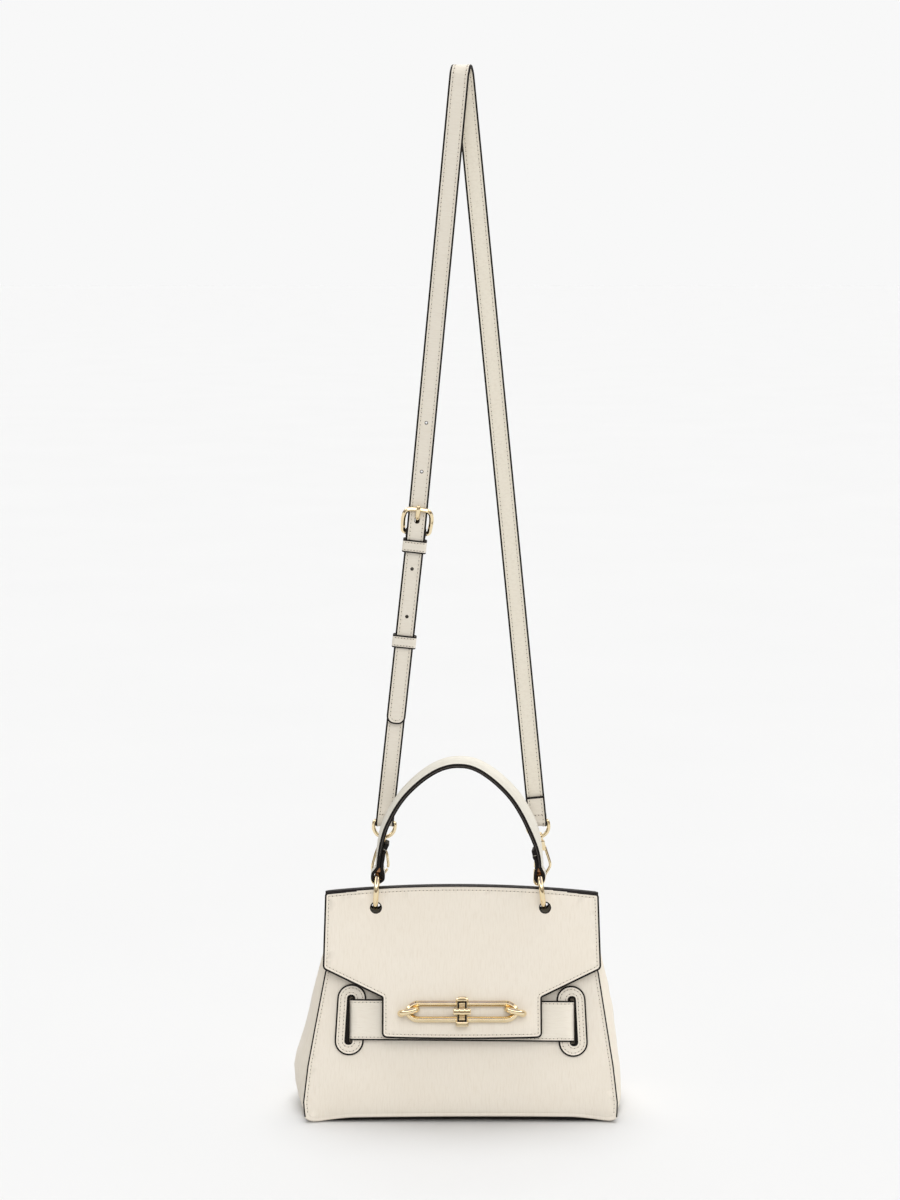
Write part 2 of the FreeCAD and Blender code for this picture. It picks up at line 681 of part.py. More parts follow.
def sleeve(place, at, width, inner_r, outer_r):
    """Leather turned round a bar that runs along the local X axis."""
    s = Part.makeCylinder(outer_r, width, V(-width / 2, 0, at), V(1, 0, 0)).cut(
        Part.makeCylinder(inner_r, width + 2, V(-width / 2 - 1, 0, at), V(1, 0, 0))
    )
    s.Placement = place
    return s


sleeve_in = S["eye_wire"] + 0.25


def eye_sides(place, at):
    """Room for the two side bars of a D-shaped eye, beside the leather on its bar."""
    r, b = S["eye_wire"] + 0.12, S["eye_bow"]
    s = fused(*[rod(V(k * b, 0, at - 14.0), V(k * b, 0, at), r) for k in (-1, 1)], *[ball(V(k * b, 0, at), r) for k in (-1, 1)])
    s.Placement = place
    return s


sleeve_out = sleeve_in + 2.0
rear = strip([rear_line(S["fold_height"]), rear_line(BAR_Z + 3.0)], W, T)
rear_tail = strip([rear_line(BAR_Z + 21) + V(0, -2.55, 0), rear_line(BAR_Z + 2.6) + V(0, -2.2, 0)], W, 2.2)
frame_r, bar_r = FRAMES[1]
bore_r = Part.makeCylinder(sleeve_in, 40, V(-20, 0, bar_r), V(1, 0, 0))
bore_r.Placement = frame_r
rear = rear.fuse(rear_tail).fuse(sleeve(frame_r, bar_r, W, sleeve_in, sleeve_out)).cut(bore_r).cut(eye_sides(frame_r, bar_r)).removeSplitter()
turned_end = block(-200, 200, -100, 100, 0, BAR_Z + 24)
feature("strap_rear_run", rear.cut(turned_end))
feature("strap_rear_end", rear.common(turned_end))

# short strap: from the left hook's eye up to the buckle's heel bar
strand_left = short_line(400).sub(short_line(300))
strand_left.normalize()
side_left = V(strand_left.z, 0, -strand_left.x)
ml = FreeCAD.Matrix(
    side_left.x, 0, strand_left.x, short_line(heel).x,
    0, 1, 0, S["strap_back"],
    side_left.z, 0, strand_left.z, heel,
    0, 0, 0, 1,
)
ON_STRAND = Placement(ml)  # local origin on the heel bar, Z up the strand, X across it
heel_in = S["buckle_wire"] + 0.25
frame_l, bar_l = FRAMES[-1]
run = strip([short_line(heel - 2.6), short_line(BAR_Z + 3.0)], W - 0.6, T)
low_tail = strip([short_line(BAR_Z + 21) + V(0, 2.55, 0), short_line(BAR_Z + 2.6) + V(0, 2.2, 0)], W - 0.6, 2.2)
top_tail = strip([short_line(heel - 2.6) + V(0, 2.2, 0), short_line(heel - 27) + V(0, 2.4, 0)], W - 0.6, 2.2)
heel_sleeve = sleeve(ON_STRAND, 0, W - 0.6, heel_in, heel_in + 2.0)
low_bore = Part.makeCylinder(sleeve_in, 40, V(-20, 0, bar_l), V(1, 0, 0))
low_bore.Placement = frame_l
high_bore = Part.makeCylinder(heel_in, 40, V(-20, 0, 0), V(1, 0, 0))
high_bore.Placement = ON_STRAND
short = run.fuse(low_tail).fuse(top_tail).fuse(heel_sleeve).fuse(sleeve(frame_l, bar_l, W - 0.6, sleeve_in, sleeve_out))
short = short.cut(low_bore).cut(high_bore).cut(eye_sides(frame_l, bar_l))
# opening in the turned end for the prong's eye
notch = block(-2.2, 2.2, -6.5, 3.4, -3.0, 6.5)
notch.Placement = ON_STRAND
short = short.cut(notch).removeSplitter()
feature("short_strap", short)

# -------------------------------------------------------------------- buckle
bw, bh = S["buckle_wire"], S["buckle_half"]
rise = tip - heel
tip_y = -6.6
corner = [V(-bh, 0, 0), V(bh, 0, 0), V(bh, tip_y, rise), V(-bh, tip_y, rise)]
frame = fused(*[rod(corner[i], corner[(i + 1) % 4], bw) for i in range(4)], *[ball(c, bw) for c in corner])
feature("buckle_frame", frame, ON_STRAND)

pw = S["prong_wire"]
collar = Part.makeCylinder(bw + 0.05 + 1.0, 3.6, V(-1.8, 0, 0), V(1, 0, 0))
tip_dir = V(0, tip_y - (bw + pw + 0.3) * 1.14, rise) * 1.06
prong = collar.fuse(rod(V(0, 0, 0), tip_dir, pw)).fuse(ball(tip_dir, pw))
prong = prong.cut(Part.makeCylinder(bw + 0.05, 8, V(-4, 0, 0), V(1, 0, 0))).removeSplitter()
feature("buckle_prong", prong, ON_STRAND)

# ------------------------------------------------------------------- keepers
kw, kt = S["keeper_wall"], S["keeper_tall"]


def keeper(label, z, front, back):
    at = z - heel
    half = W / 2 + 0.55
    f, b = front - S["strap_back"], back - S["strap_back"]
    s = block(-half - kw, half + kw, f - kw, b + kw, at - kt / 2, at + kt / 2)
    s = s.cut(block(-half, half, f, b, at - kt, at + kt))
    return feature(label, s, ON_STRAND)


keeper("upper_keeper", S["upper_keeper_at"], 7.7, 18.3)
keeper("lower_keeper", S["lower_keeper_at"], 9.6, 16.2)

# --------------------------------------------------------------------- hooks
hb, hw, ew, eb = S["hook_bow"], S["hook_wire"], S["eye_wire"], S["eye_bow"]
for side, word in ((-1, "left"), (1, "right")):
    place, bar_at = FRAMES[side]
    g = -side  # the gate is on the inner side of each hook
    d_low = bar_at - 12.4
    # eye: round below, straight bar above, with a bored barrel for the swivel stem
    centre = V(0, 0, d_low + eb)
    eye = fused(
        half_bow(centre, eb, ew, "-Z"),
        rod(V(-eb, 0, d_low + eb), V(-eb, 0, bar_at), ew),
        rod(V(eb, 0, d_low + eb), V(eb, 0, bar_at), ew),
        rod(V(-eb, 0, bar_at), V(eb, 0, bar_at), ew),
        ball(V(-eb, 0, bar_at), ew),
        ball(V(eb, 0, bar_at), ew),
        Part.makeCylinder(S["barrel_radius"], 4.4, V(0, 0, d_low - 2.4), V(0, 0, 1)),
    ).cut(Part.makeCylinder(S["hook_stem"] + 0.05, 12, V(0, 0, d_low - 6), V(0, 0, 1)))
    feature(word + "_d_eye", eye.removeSplitter(), place)

    neck_top = d_low - 2.7
    neck_low = neck_top - 8.2
    neck = block(-3.6, 3.6, -2.6, 2.6, neck_low, neck_top)
    pivot = V(g * 2.0, 0, neck_low + 2.2)
    x0, x1 = sorted((-g * 1.3, g * 5.0))
    neck = neck.cut(block(x0, x1, -1.5, 1.5, neck_low - 1, pivot.z + 3.0))
    neck = neck.cut(Part.makeCylinder(S["pin_radius"], 8, V(pivot.x, -4, pivot.z), V(0, 1, 0)))
    far = V(-g * 2.9, 0, neck_low + 1.0)
    nose = V(g * 5.5, 0, 5.2)
    hook = fused(
        neck,
        half_bow(V(0, 0, 0), hb, hw, "-Z"),
        rod(V(-g * hb, 0, 0), far, hw),
        ball(V(-g * hb, 0, 0), hw),
        rod(V(g * hb, 0, 0), nose, hw),
        ball(V(g * hb, 0, 0), hw),
        ball(nose, hw),
        Part.makeCylinder(S["hook_stem"], d_low + 2.7 - neck_top, V(0, 0, neck_top - 0.2), V(0, 0, 1)),
        Part.makeCylinder(2.4, 1.5, V(0, 0, d_low + 2.3), V(0, 0, 1)),
    )
    slot_box = block(x0, x1, -1.5, 1.5, neck_low - 1, pivot.z + 3.0)
    feature(word + "_hook", hook.cut(slot_box.common(block(-3.6, 3.6, -1.5, 1.5, neck_low + 2.0, pivot.z + 3.0))).removeSplitter(), place)

    tongue = block(min(g * 0.5, g * 3.5), max(g * 0.5, g * 3.5), -1.3, 1.3, pivot.z - 2.6, pivot.z + 1.9)
    end = V(g * 5.1, 0, 8.5)
    gate = fused(
        tongue,
        rod(V(g * 2.6, 0, pivot.z - 1.6), end, 1.25),
        ball(end, 1.25),
        block(min(g * 3.6, g * 6.6), max(g * 3.6, g * 6.6), -1.0, 1.0, pivot.z - 6.6, pivot.z - 4.2),
    ).cut(Part.makeCylinder(S["pin_radius"] + S["pin_room"], 8, V(pivot.x, -4, pivot.z), V(0, 1, 0)))
    feature(word + "_gate", gate.removeSplitter(), place)
    feature(word + "_gate_pin", Part.makeCylinder(S["pin_radius"], 5.2, V(pivot.x, -2.6, pivot.z), V(0, 1, 0)), place)

# ------------------------------------------------------------- check and write
doc.recompute()
bad = []
for obj in doc.Objects:
    if any(s in ("Invalid", "Error") for s in obj.State):
        bad.append("%s: %s" % (obj.Label, obj.State))
for p in PARTS:
    if p.Shape.isNull() or not p.Shape.isValid() or not p.Shape.Solids:
        bad.append("%s: shape is null, not valid or has no solid" % p.Label)
if bad:
    print("\n".join(bad))
    sys.exit(1)

os.makedirs("parts", exist_ok=True)
for p in PARTS:
    p.Shape.exportStep("parts/%s.step" % p.Label)
    b = p.Shape.BoundBox
    print(
        "%-18s solids %d volume %9.1f  x %7.1f %7.1f  y %7.1f %7.1f  z %7.1f %7.1f"
        % (p.Label, len(p.Shape.Solids), p.Shape.Volume, b.XMin, b.XMax, b.YMin, b.YMax, b.ZMin, b.ZMax)
    )
print(len(PARTS), "parts")
print("hook pivot y %.3f z %.3f" % (HOOK_Y, HOOK_Z))
for side, (place, bar_at) in FRAMES.items():
    z = place.Rotation.multVec(V(0, 0, 1))
    y = place.Rotation.multVec(V(0, 1, 0))
    g = -side
    d_low = bar_at - 12.4
    pv = place.multVec(V(g * 2.0, 0, d_low - 2.7 - 8.2 + 2.2))
    print("hook", side, "origin", place.Base, "axis", z, "gate axis", y, "gate pivot", pv, "bar_at", bar_at)
print("strand axis", strand_left, "heel", ON_STRAND.Base, "across", side_left)
print("lock", lock_at, "normal", normal)
hinge = ON_FLAP.multVec(V(0, 0, -S["flap_hinge"]))
print("flap hinge", hinge)
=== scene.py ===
import math

import bmesh
import bpy
import numpy as np
from mathutils import Matrix, Vector, noise
from mathutils.geometry import delaunay_2d_cdt


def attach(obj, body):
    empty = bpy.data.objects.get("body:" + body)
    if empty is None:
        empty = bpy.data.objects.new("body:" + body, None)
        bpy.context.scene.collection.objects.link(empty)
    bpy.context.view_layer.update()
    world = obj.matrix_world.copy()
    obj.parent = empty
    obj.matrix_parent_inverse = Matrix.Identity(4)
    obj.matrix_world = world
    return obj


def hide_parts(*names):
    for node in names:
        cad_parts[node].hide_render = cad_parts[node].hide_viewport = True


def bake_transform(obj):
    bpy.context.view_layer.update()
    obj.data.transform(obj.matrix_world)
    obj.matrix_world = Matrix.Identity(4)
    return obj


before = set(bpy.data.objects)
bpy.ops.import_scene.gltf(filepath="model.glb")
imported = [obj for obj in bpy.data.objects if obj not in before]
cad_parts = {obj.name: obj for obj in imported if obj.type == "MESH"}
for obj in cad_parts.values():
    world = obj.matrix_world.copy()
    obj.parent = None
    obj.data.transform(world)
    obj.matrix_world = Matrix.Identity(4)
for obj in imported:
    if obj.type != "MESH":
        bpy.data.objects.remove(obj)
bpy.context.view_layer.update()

MM = 0.001
scene = bpy.context.scene


# ---------------------------------------------------------------- small helpers
def lin(r, g, b):
    """Linear colour of an 8-bit screen colour."""
    out = []
    for c in (r, g, b):
        c /= 255.0
        out.append(c / 12.92 if c <= 0.04045 else ((c + 0.055) / 1.055) ** 2.4)
    return (*out, 1.0)


def smooth(a, b, x):
    t = min(1.0, max(0.0, (x - a) / (b - a)))
    return t * t * (3 - 2 * t)


def wave(u, v, seed, size):
    """Slow seeded unevenness between about -0.6 and 0.6."""
    return noise.noise(Vector((u / size + seed * 3.7, v / size - seed * 1.3, seed * 7.1)))


def unit(v):
    v = np.asarray(v, float)
    return v / max(1e-12, np.linalg.norm(v))


# ---------------------------------------------------------------- materials
def tree(name):
    mat = bpy.data.materials.new(name)
    mat.use_nodes = True
    nt = mat.node_tree
    return mat, nt, nt.nodes["Principled BSDF"]


def setin(n, **values):
    for k, v in values.items():
        n.inputs[k.replace("_", " ")].default_value = v
    return n


def noise_node(nt, vec, scale, detail=3.0, rough=0.5, distort=0.0):
    n = nt.nodes.new("ShaderNodeTexNoise")
    setin(n, Scale=scale, Detail=detail, Roughness=rough, Distortion=distort)
    if vec is not None:
        nt.links.new(vec, n.inputs["Vector"])
    return n


def mapped(nt, vec, scale):
    n = nt.nodes.new("ShaderNodeMapping")
    n.inputs["Scale"].default_value = scale
    nt.links.new(vec, n.inputs["Vector"])
    return n.outputs["Vector"]


def ramp(nt, fac, stops):
    n = nt.nodes.new("ShaderNodeValToRGB")
    while len(n.color_ramp.elements) < len(stops):
        n.color_ramp.elements.new(0.5)
    for e, (p, c) in zip(n.color_ramp.elements, stops):
        e.position = p
        e.color = c if len(c) == 4 else (*c, 1)
    nt.links.new(fac, n.inputs["Fac"])
    return n.outputs["Color"]


def spread(nt, fac, lo, hi, a=0.25, b=0.75):
    n = nt.nodes.new("ShaderNodeMapRange")
    setin(n, From_Min=a, From_Max=b, To_Min=lo, To_Max=hi)
    nt.links.new(fac, n.inputs["Value"])
    return n.outputs["Result"]


def math_node(nt, op, a, b=None):
    n = nt.nodes.new("ShaderNodeMath")
    n.operation = op
    for i, x in enumerate((a, b)):
        if x is None:
            continue
        if isinstance(x, (int, float)):
            n.inputs[i].default_value = x
        else:
            nt.links.new(x, n.inputs[i])
    return n.outputs[0]


def mix_colour(nt, fac, a, b, blend="MIX"):
    n = nt.nodes.new("ShaderNodeMix")
    n.data_type = "RGBA"
    n.blend_type = blend
    for sock, x in ((n.inputs[0], fac), (n.inputs[6], a), (n.inputs[7], b)):
        if isinstance(x, (int, float, tuple)):
            sock.default_value = x
        else:
            nt.links.new(x, sock)
    return n.outputs[2]


def bump(nt, height, strength, distance, normal=None):
    n = nt.nodes.new("ShaderNodeBump")
    setin(n, Strength=strength, Distance=distance)
    nt.links.new(height, n.inputs["Height"])
    if normal is not None:
        nt.links.new(normal, n.inputs["Normal"])
    return n.outputs["Normal"]


def grain_vector(nt):
    n = nt.nodes.new("ShaderNodeAttribute")
    n.attribute_name = "grain"
    return n.outputs["Vector"]


def leather(name, colour, along=0.0095, across=0.00105, depth=0.00014, shade=0.95, rough=(0.42, 0.58)):
    """Printed grain: wavy creases that run along the grain's second axis, with fine pores."""
    mat, nt, p = tree(name)
    g = grain_vector(nt)
    drift = noise_node(nt, g, 85.0, 2.0)
    sway = nt.nodes.new("ShaderNodeVectorMath")
    sway.operation = "MULTIPLY_ADD"
    nt.links.new(drift.outputs["Color"], sway.inputs[0])
    sway.inputs[1].default_value = (0.0026, 0.0026, 0.0)
    nt.links.new(g, sway.inputs[2])
    crease = noise_node(nt, mapped(nt, sway.outputs["Vector"], (1 / across, 1 / along, 1.0)), 1.0, 3.0, 0.6, 0.25)
    pores = noise_node(nt, g, 2100.0, 2.0, 0.6)
    cloud = noise_node(nt, g, 24.0, 3.0, 0.5)
    base = lin(*colour)
    dark = tuple(c * shade * f for c, f in zip(base[:3], (1.0, 0.985, 0.965))) + (1.0,)
    light = tuple(min(1.0, c * 1.018) for c in base[:3]) + (1.0,)
    tone = ramp(nt, crease.outputs["Fac"], [(0.3, dark), (0.52, base), (0.75, light)])
    warm = tuple(c * f for c, f in zip(base[:3], (0.975, 0.955, 0.925))) + (1.0,)
    tone = mix_colour(nt, spread(nt, cloud.outputs["Fac"], 0.0, 0.35, 0.35, 0.7), tone, warm)
    nt.links.new(tone, p.inputs["Base Color"])
    nt.links.new(spread(nt, crease.outputs["Fac"], rough[1], rough[0], 0.3, 0.7), p.inputs["Roughness"])
    n1 = bump(nt, crease.outputs["Fac"], 0.5, depth)
    n2 = bump(nt, pores.outputs["Fac"], 0.22, depth * 0.35, n1)
    nt.links.new(n2, p.inputs["Normal"])
    p.inputs["Specular IOR Level"].default_value = 0.42
    return mat


def edge_paint(name, colour=(19, 15, 13)):
    """Thick brushed-on edge paint: smooth, a little glossy, with slow ripples and worn specks."""
    mat, nt, p = tree(name)
    g = grain_vector(nt)
    ripple = noise_node(nt, g, 420.0, 3.0, 0.5)
    speck = noise_node(nt, g, 1500.0, 2.0, 0.6)
    base = lin(*colour)
    worn = tuple(c * 1.6 for c in base[:3]) + (1.0,)
    nt.links.new(ramp(nt, speck.outputs["Fac"], [(0.45, base), (0.86, worn)]), p.inputs["Base Color"])
    nt.links.new(spread(nt, ripple.outputs["Fac"], 0.34, 0.52), p.inputs["Roughness"])
    n1 = bump(nt, ripple.outputs["Fac"], 0.35, 0.0002)
    nt.links.new(bump(nt, speck.outputs["Fac"], 0.15, 0.00006, n1), p.inputs["Normal"])
    p.inputs["Specular IOR Level"].default_value = 0.16
    return mat


def gold(name, colour=(243, 225, 187), rough=(0.06, 0.11)):
    """Polished pale gold plating with faint wiping marks."""
    mat, nt, p = tree(name)
    tc = nt.nodes.new("ShaderNodeTexCoord")
    smear = noise_node(nt, mapped(nt, tc.outputs["Object"], (260.0, 260.0, 900.0)), 1.0, 3.0, 0.55)
    cloud = noise_node(nt, tc.outputs["Object"], 120.0, 2.0)
    base = lin(*colour)
    deep = tuple(c * f for c, f in zip(base[:3], (0.97, 0.94, 0.88))) + (1.0,)
    nt.links.new(ramp(nt, cloud.outputs["Fac"], [(0.35, deep), (0.6, base)]), p.inputs["Base Color"])
    nt.links.new(spread(nt, smear.outputs["Fac"], rough[0], rough[1]), p.inputs["Roughness"])
    nt.links.new(bump(nt, smear.outputs["Fac"], 0.02, 0.00003), p.inputs["Normal"])
    p.inputs["Metallic"].default_value = 1.0
    return mat


def thread(name, colour):
    """Twisted sewing thread: slanted strands along its length."""
    mat, nt, p = tree(name)
    g = grain_vector(nt)
    w = nt.nodes.new("ShaderNodeTexWave")
    w.wave_type, w.bands_direction = "BANDS", "DIAGONAL"
    setin(w, Scale=900.0, Distortion=1.5, Detail=1.0)
    nt.links.new(g, w.inputs["Vector"])
    base = lin(*colour)
    dark = tuple(c * 0.78 for c in base[:3]) + (1.0,)
    nt.links.new(ramp(nt, w.outputs["Fac"], [(0.1, dark), (0.6, base)]), p.inputs["Base Color"])
    nt.links.new(bump(nt, w.outputs["Fac"], 0.4, 0.00008), p.inputs["Normal"])
    p.inputs["Roughness"].default_value = 0.62
    p.inputs["Sheen Weight"].default_value = 0.15
    return mat


# Needle holes are coloured dark brown, darker in spots: painted shade for the inside of each hole, as the pits are only
# shallow dimples
def needle_hole(name, colour=(84, 72, 58)):
    mat, nt, p = tree(name)
    n = noise_node(nt, grain_vector(nt), 1600.0, 2.0)
    base = lin(*colour)
    deep = tuple(c * 0.4 for c in base[:3]) + (1.0,)
    nt.links.new(ramp(nt, n.outputs["Fac"], [(0.35, deep), (0.7, base)]), p.inputs["Base Color"])
    p.inputs["Roughness"].default_value = 0.85
    p.inputs["Specular IOR Level"].default_value = 0.1
    return mat


def fabric(name, colour, size=0.0009):
    """Plain woven lining: over-and-under threads with uneven yarn."""
    mat, nt, p = tree(name)
    g = grain_vector(nt)
    waves = []
    for axis in ("X", "Y"):
        w = nt.nodes.new("ShaderNodeTexWave")
        w.wave_type, w.bands_direction = "BANDS", axis
        setin(w, Scale=0.314 / size, Distortion=0.6, Detail=1.0)
        nt.links.new(g, w.inputs["Vector"])
        waves.append(w.outputs["Fac"])
    weave = math_node(nt, "MAXIMUM", waves[0], waves[1])
    yarn = noise_node(nt, mapped(nt, g, (90.0, 900.0, 1.0)), 1.0, 3.0)
    base = lin(*colour)
    dark = tuple(c * 0.72 for c in base[:3]) + (1.0,)
    light = tuple(min(1, c * 1.1) for c in base[:3]) + (1.0,)
    tone = ramp(nt, weave, [(0.1, dark), (0.85, base)])
    nt.links.new(mix_colour(nt, spread(nt, yarn.outputs["Fac"], 0.0, 0.5), tone, light), p.inputs["Base Color"])
    nt.links.new(bump(nt, weave, 0.5, 0.00016), p.inputs["Normal"])
    p.inputs["Roughness"].default_value = 0.82
    p.inputs["Sheen Weight"].default_value = 0.2
    return mat


def board(name, colour):
    mat, nt, p = tree(name)
    tc = nt.nodes.new("ShaderNodeTexCoord")
    fibre = noise_node(nt, mapped(nt, tc.outputs["Object"], (300.0, 900.0, 900.0)), 1.0, 5.0, 0.65)
    base = lin(*colour)
    dark = tuple(c * 0.7 for c in base[:3]) + (1.0,)
    nt.links.new(ramp(nt, fibre.outputs["Fac"], [(0.3, dark), (0.65, base)]), p.inputs["Base Color"])
    nt.links.new(bump(nt, fibre.outputs["Fac"], 0.3, 0.0002), p.inputs["Normal"])
    p.inputs["Roughness"].default_value = 0.9
    return mat


CREAM = (229, 221, 208)
LEATHER = leather("cream_grain_upright", CREAM)
LEATHER_STRAP = leather("cream_grain_strap", (230, 223, 210), along=0.009, across=0.0011)
LEATHER_LONG = leather("cream_grain_long_strap", (223, 216, 203), along=0.009, across=0.0011)
LEATHER_SOFT = leather("cream_grain_soft", (229, 221, 207), along=0.009, across=0.0013, depth=0.00018)
LEATHER_SMOOTH = leather("cream_grain_fine", (216, 212, 201), along=0.004, across=0.0014, depth=0.00012, shade=0.95)
REVERSE = leather("cream_reverse", (228, 221, 206), along=0.003, across=0.0016, depth=0.00018, shade=0.92, rough=(0.55, 0.72))
RAW = leather("tan_raw", (166, 120, 82), along=0.003, across=0.0012, depth=0.0002, shade=0.8, rough=(0.6, 0.8))
PAINT = edge_paint("black_edge_paint")
PAINT_LIGHT = edge_paint("edge_paint_seam", (104, 98, 92))
GOLD = gold("pale_gold_plate")
GOLD_DARK = gold("pale_gold_inner", (226, 202, 160), (0.25, 0.38))
THREAD = thread("cream_thread", (222, 213, 197))
PIT = needle_hole("needle_hole")
LINING = fabric("lining_weave", (196, 184, 164))
BOARD = board("fibre_board", (150, 138, 120))


# ---------------------------------------------------------------- mesh builder
class Shape:
    def __init__(self):
        self.v, self.g, self.f, self.k = [], [], [], []

    def vert(self, p, g=(0.0, 0.0)):
        self.v.append((p[0], p[1], p[2]))
        self.g.append(g)
        return len(self.v) - 1

    def face(self, ids, k=0):
        self.f.append(tuple(ids))
        self.k.append(k)

    def strip(self, a, b, k, closed=True):
        n = len(a)
        for i in range(n if closed else n - 1):
            j = (i + 1) % n
            self.face((a[i], a[j], b[j], b[i]), k)

    def fan(self, ids, p, k, g=(0.0, 0.0)):
        c = self.vert(p, g)
        n = len(ids)
        for i in range(n):
            self.face((ids[i], ids[(i + 1) % n], c), k)


def make(name, shape, mats, body=None, node_names=(), flat=False):
    me = bpy.data.meshes.new(name)
    me.from_pydata([(x * MM, y * MM, z * MM) for x, y, z in shape.v], [], shape.f)
    me.polygons.foreach_set("material_index", shape.k)
    me.polygons.foreach_set("use_smooth", [not flat] * len(shape.f))
    at = me.attributes.new("grain", "FLOAT_VECTOR", "POINT")
    flat_g = np.zeros((len(shape.v), 3), np.float32)
    flat_g[:, :2] = np.asarray(shape.g, np.float32) * MM
    at.data.foreach_set("vector", flat_g.ravel())
    bm = bmesh.new()
    bm.from_mesh(me)
    bmesh.ops.remove_doubles(bm, verts=bm.verts, dist=1e-7)
    bmesh.ops.recalc_face_normals(bm, faces=bm.faces)
    bm.to_mesh(me)
    bm.free()
    for m in mats:
        me.materials.append(m)
    me.update()
    ob = bpy.data.objects.new(name, me)
    scene.collection.objects.link(ob)
    if body:
        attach(ob, body)
    if node_names:
        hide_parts(*node_names)
    return ob


# ------------------------------------------------- outlines and parallel rings
def area2(p):
    p = np.asarray([(q[0], q[1]) for q in p], float)
    q = np.roll(p, -1, 0)
    return float((p[:, 0] * q[:, 1] - q[:, 0] * p[:, 1]).sum())


def ring_at(base, d, step):
    """The outline moved d into the material (on its left), its corners rounded to match."""
    n = len(base)
    pts = [np.array(b[:2], float) for b in base]
    dirs, lens = [], []
    for i in range(n):
        e = pts[(i + 1) % n] - pts[i]
        lens.append(float(np.linalg.norm(e)))
        dirs.append(e / lens[-1])
    groups = []
    for i in range(n):
        e0, e1 = dirs[i - 1], dirs[i]
        n0, n1 = np.array((-e0[1], e0[0])), np.array((-e1[1], e1[0]))
        p = pts[i] + d * (n0 + n1) / max(0.25, 1 + float(n0 @ n1))
        r = base[i][2]
        turn = math.atan2(e0[0] * e1[1] - e0[1] * e1[0], float(e0 @ e1))
        if r <= 0 or abs(turn) < 0.02:
            groups.append([p])
            continue
        s = 1 if turn > 0 else -1
        rr = max(0.06, r - s * d)
        t = rr * math.tan(abs(turn) / 2)
        a, c = p - e0 * t, None
        c = a + n0 * rr * s
        m = max(3, int(math.ceil(abs(turn) / 0.2)))
        arc = []
        for k in range(m + 1):
            w = turn * k / m
            v = a - c
            arc.append(c + np.array((v[0] * math.cos(w) - v[1] * math.sin(w), v[0] * math.sin(w) + v[1] * math.cos(w))))
        groups.append(arc)
    out = []
    for i in range(n):
        g, h = groups[i], groups[(i + 1) % n]
        out.extend(g)
        m = max(1, int(round(lens[i] / step)))
        for k in range(1, m):
            out.append(g[-1] + (h[0] - g[-1]) * k / m)
    return np.array(out)


def inside(points, poly):
    x, y = points[:, 0][:, None], points[:, 1][:, None]
    a, b = poly, np.roll(poly, -1, 0)
    cond = (a[:, 1] > y) != (b[:, 1] > y)
    with np.errstate(divide="ignore", invalid="ignore"):
        xi = (b[:, 0] - a[:, 0]) * (y - a[:, 1]) / (b[:, 1] - a[:, 1]) + a[:, 0]
    return (cond & (x < xi)).sum(1) % 2 == 1


def cap(shape, rings, ids, put, h, grid, k, turn):
    pts, owner, edges = [], [], []
    for ring, own in zip(rings, ids):
        s = len(pts)
        pts += [tuple(p) for p in ring]
        owner += list(own)
        edges += [(s + i, s + (i + 1) % len(ring)) for i in range(len(ring))]
    lo, hi = rings[0].min(0), rings[0].max(0)
    xs = np.arange(lo[0] + grid * 0.5, hi[0], grid)
    ys = np.arange(lo[1] + grid * 0.5, hi[1], grid * 0.866)
    gp = np.array([(x + (grid / 2 if j % 2 else 0), y) for j, y in enumerate(ys) for x in xs])
    if len(gp):
        keep = inside(gp, rings[0])
        for r in rings[1:]:
            keep &= ~inside(gp, r)
        gp = gp[keep]
        allp = np.array(pts)
        near = np.array([np.min(((allp - p) ** 2).sum(1)) for p in gp]) if len(gp) else np.zeros(0)
        gp = gp[near > (0.5 * grid) ** 2] if len(gp) else gp
        pts += [tuple(p) for p in gp]
    res = delaunay_2d_cdt([Vector(p) for p in pts], edges, [], 0, 1e-6)
    verts, faces, orig = res[0], res[2], res[3]
    index = []
    for i, o in enumerate(orig):
        if o and o[0] < len(owner):
            index.append(owner[o[0]])
        else:
            index.append(shape.vert(put(verts[i][0], verts[i][1], h), turn(verts[i][0], verts[i][1])))
    cent = np.array([np.mean([verts[j] for j in f], axis=0) for f in faces])
    keep = inside(cent, rings[0])
    for r in rings[1:]:
        keep &= ~inside(cent, r)
    for f, ok in zip(faces, keep):
        if ok:
            shape.face([index[j] for j in f], k)


def rim(t, lap=1.3, stitch=3.0, groove=0.2, bead=0.1, back_stitch=False, b=None):
    """Section of a painted leather edge, from the front face round to the back."""
    b = min(0.85, t * 0.4) if b is None else b
    pr = []
    if stitch:
        pr += [(stitch + 1.0, 0.0, 0), (stitch + 0.5, -groove * 0.45, 0), (stitch, -groove, 0),
               (stitch - 0.45, -groove * 0.4, 0), (stitch - 0.85, 0.08, 0)]
    else:
        pr += [(lap + 0.4, 0.0, 0)]
    pr += [(lap, 0.05, 1), (lap - 0.2, 0.05 + bead, 1), (lap * 0.5, bead * 0.6, 1), (0.16, -b * 0.4, 1), (0.0, -b, 1),
           (0.0, -(t - b), 1), (0.16, -(t - b * 0.4), 1), (lap * 0.5, -t - bead * 0.6, 1), (lap - 0.2, -t - bead, 1),
           (lap, -t, 2)]
    if back_stitch:
        s = stitch
        pr += [(s - 0.85, -t - 0.05, 2), (s - 0.45, -t + groove * 0.4, 2), (s, -t + groove, 2), (s + 0.5, -t + groove * 0.45, 2),
               (s + 1.0, -t, 2)]
    return pr


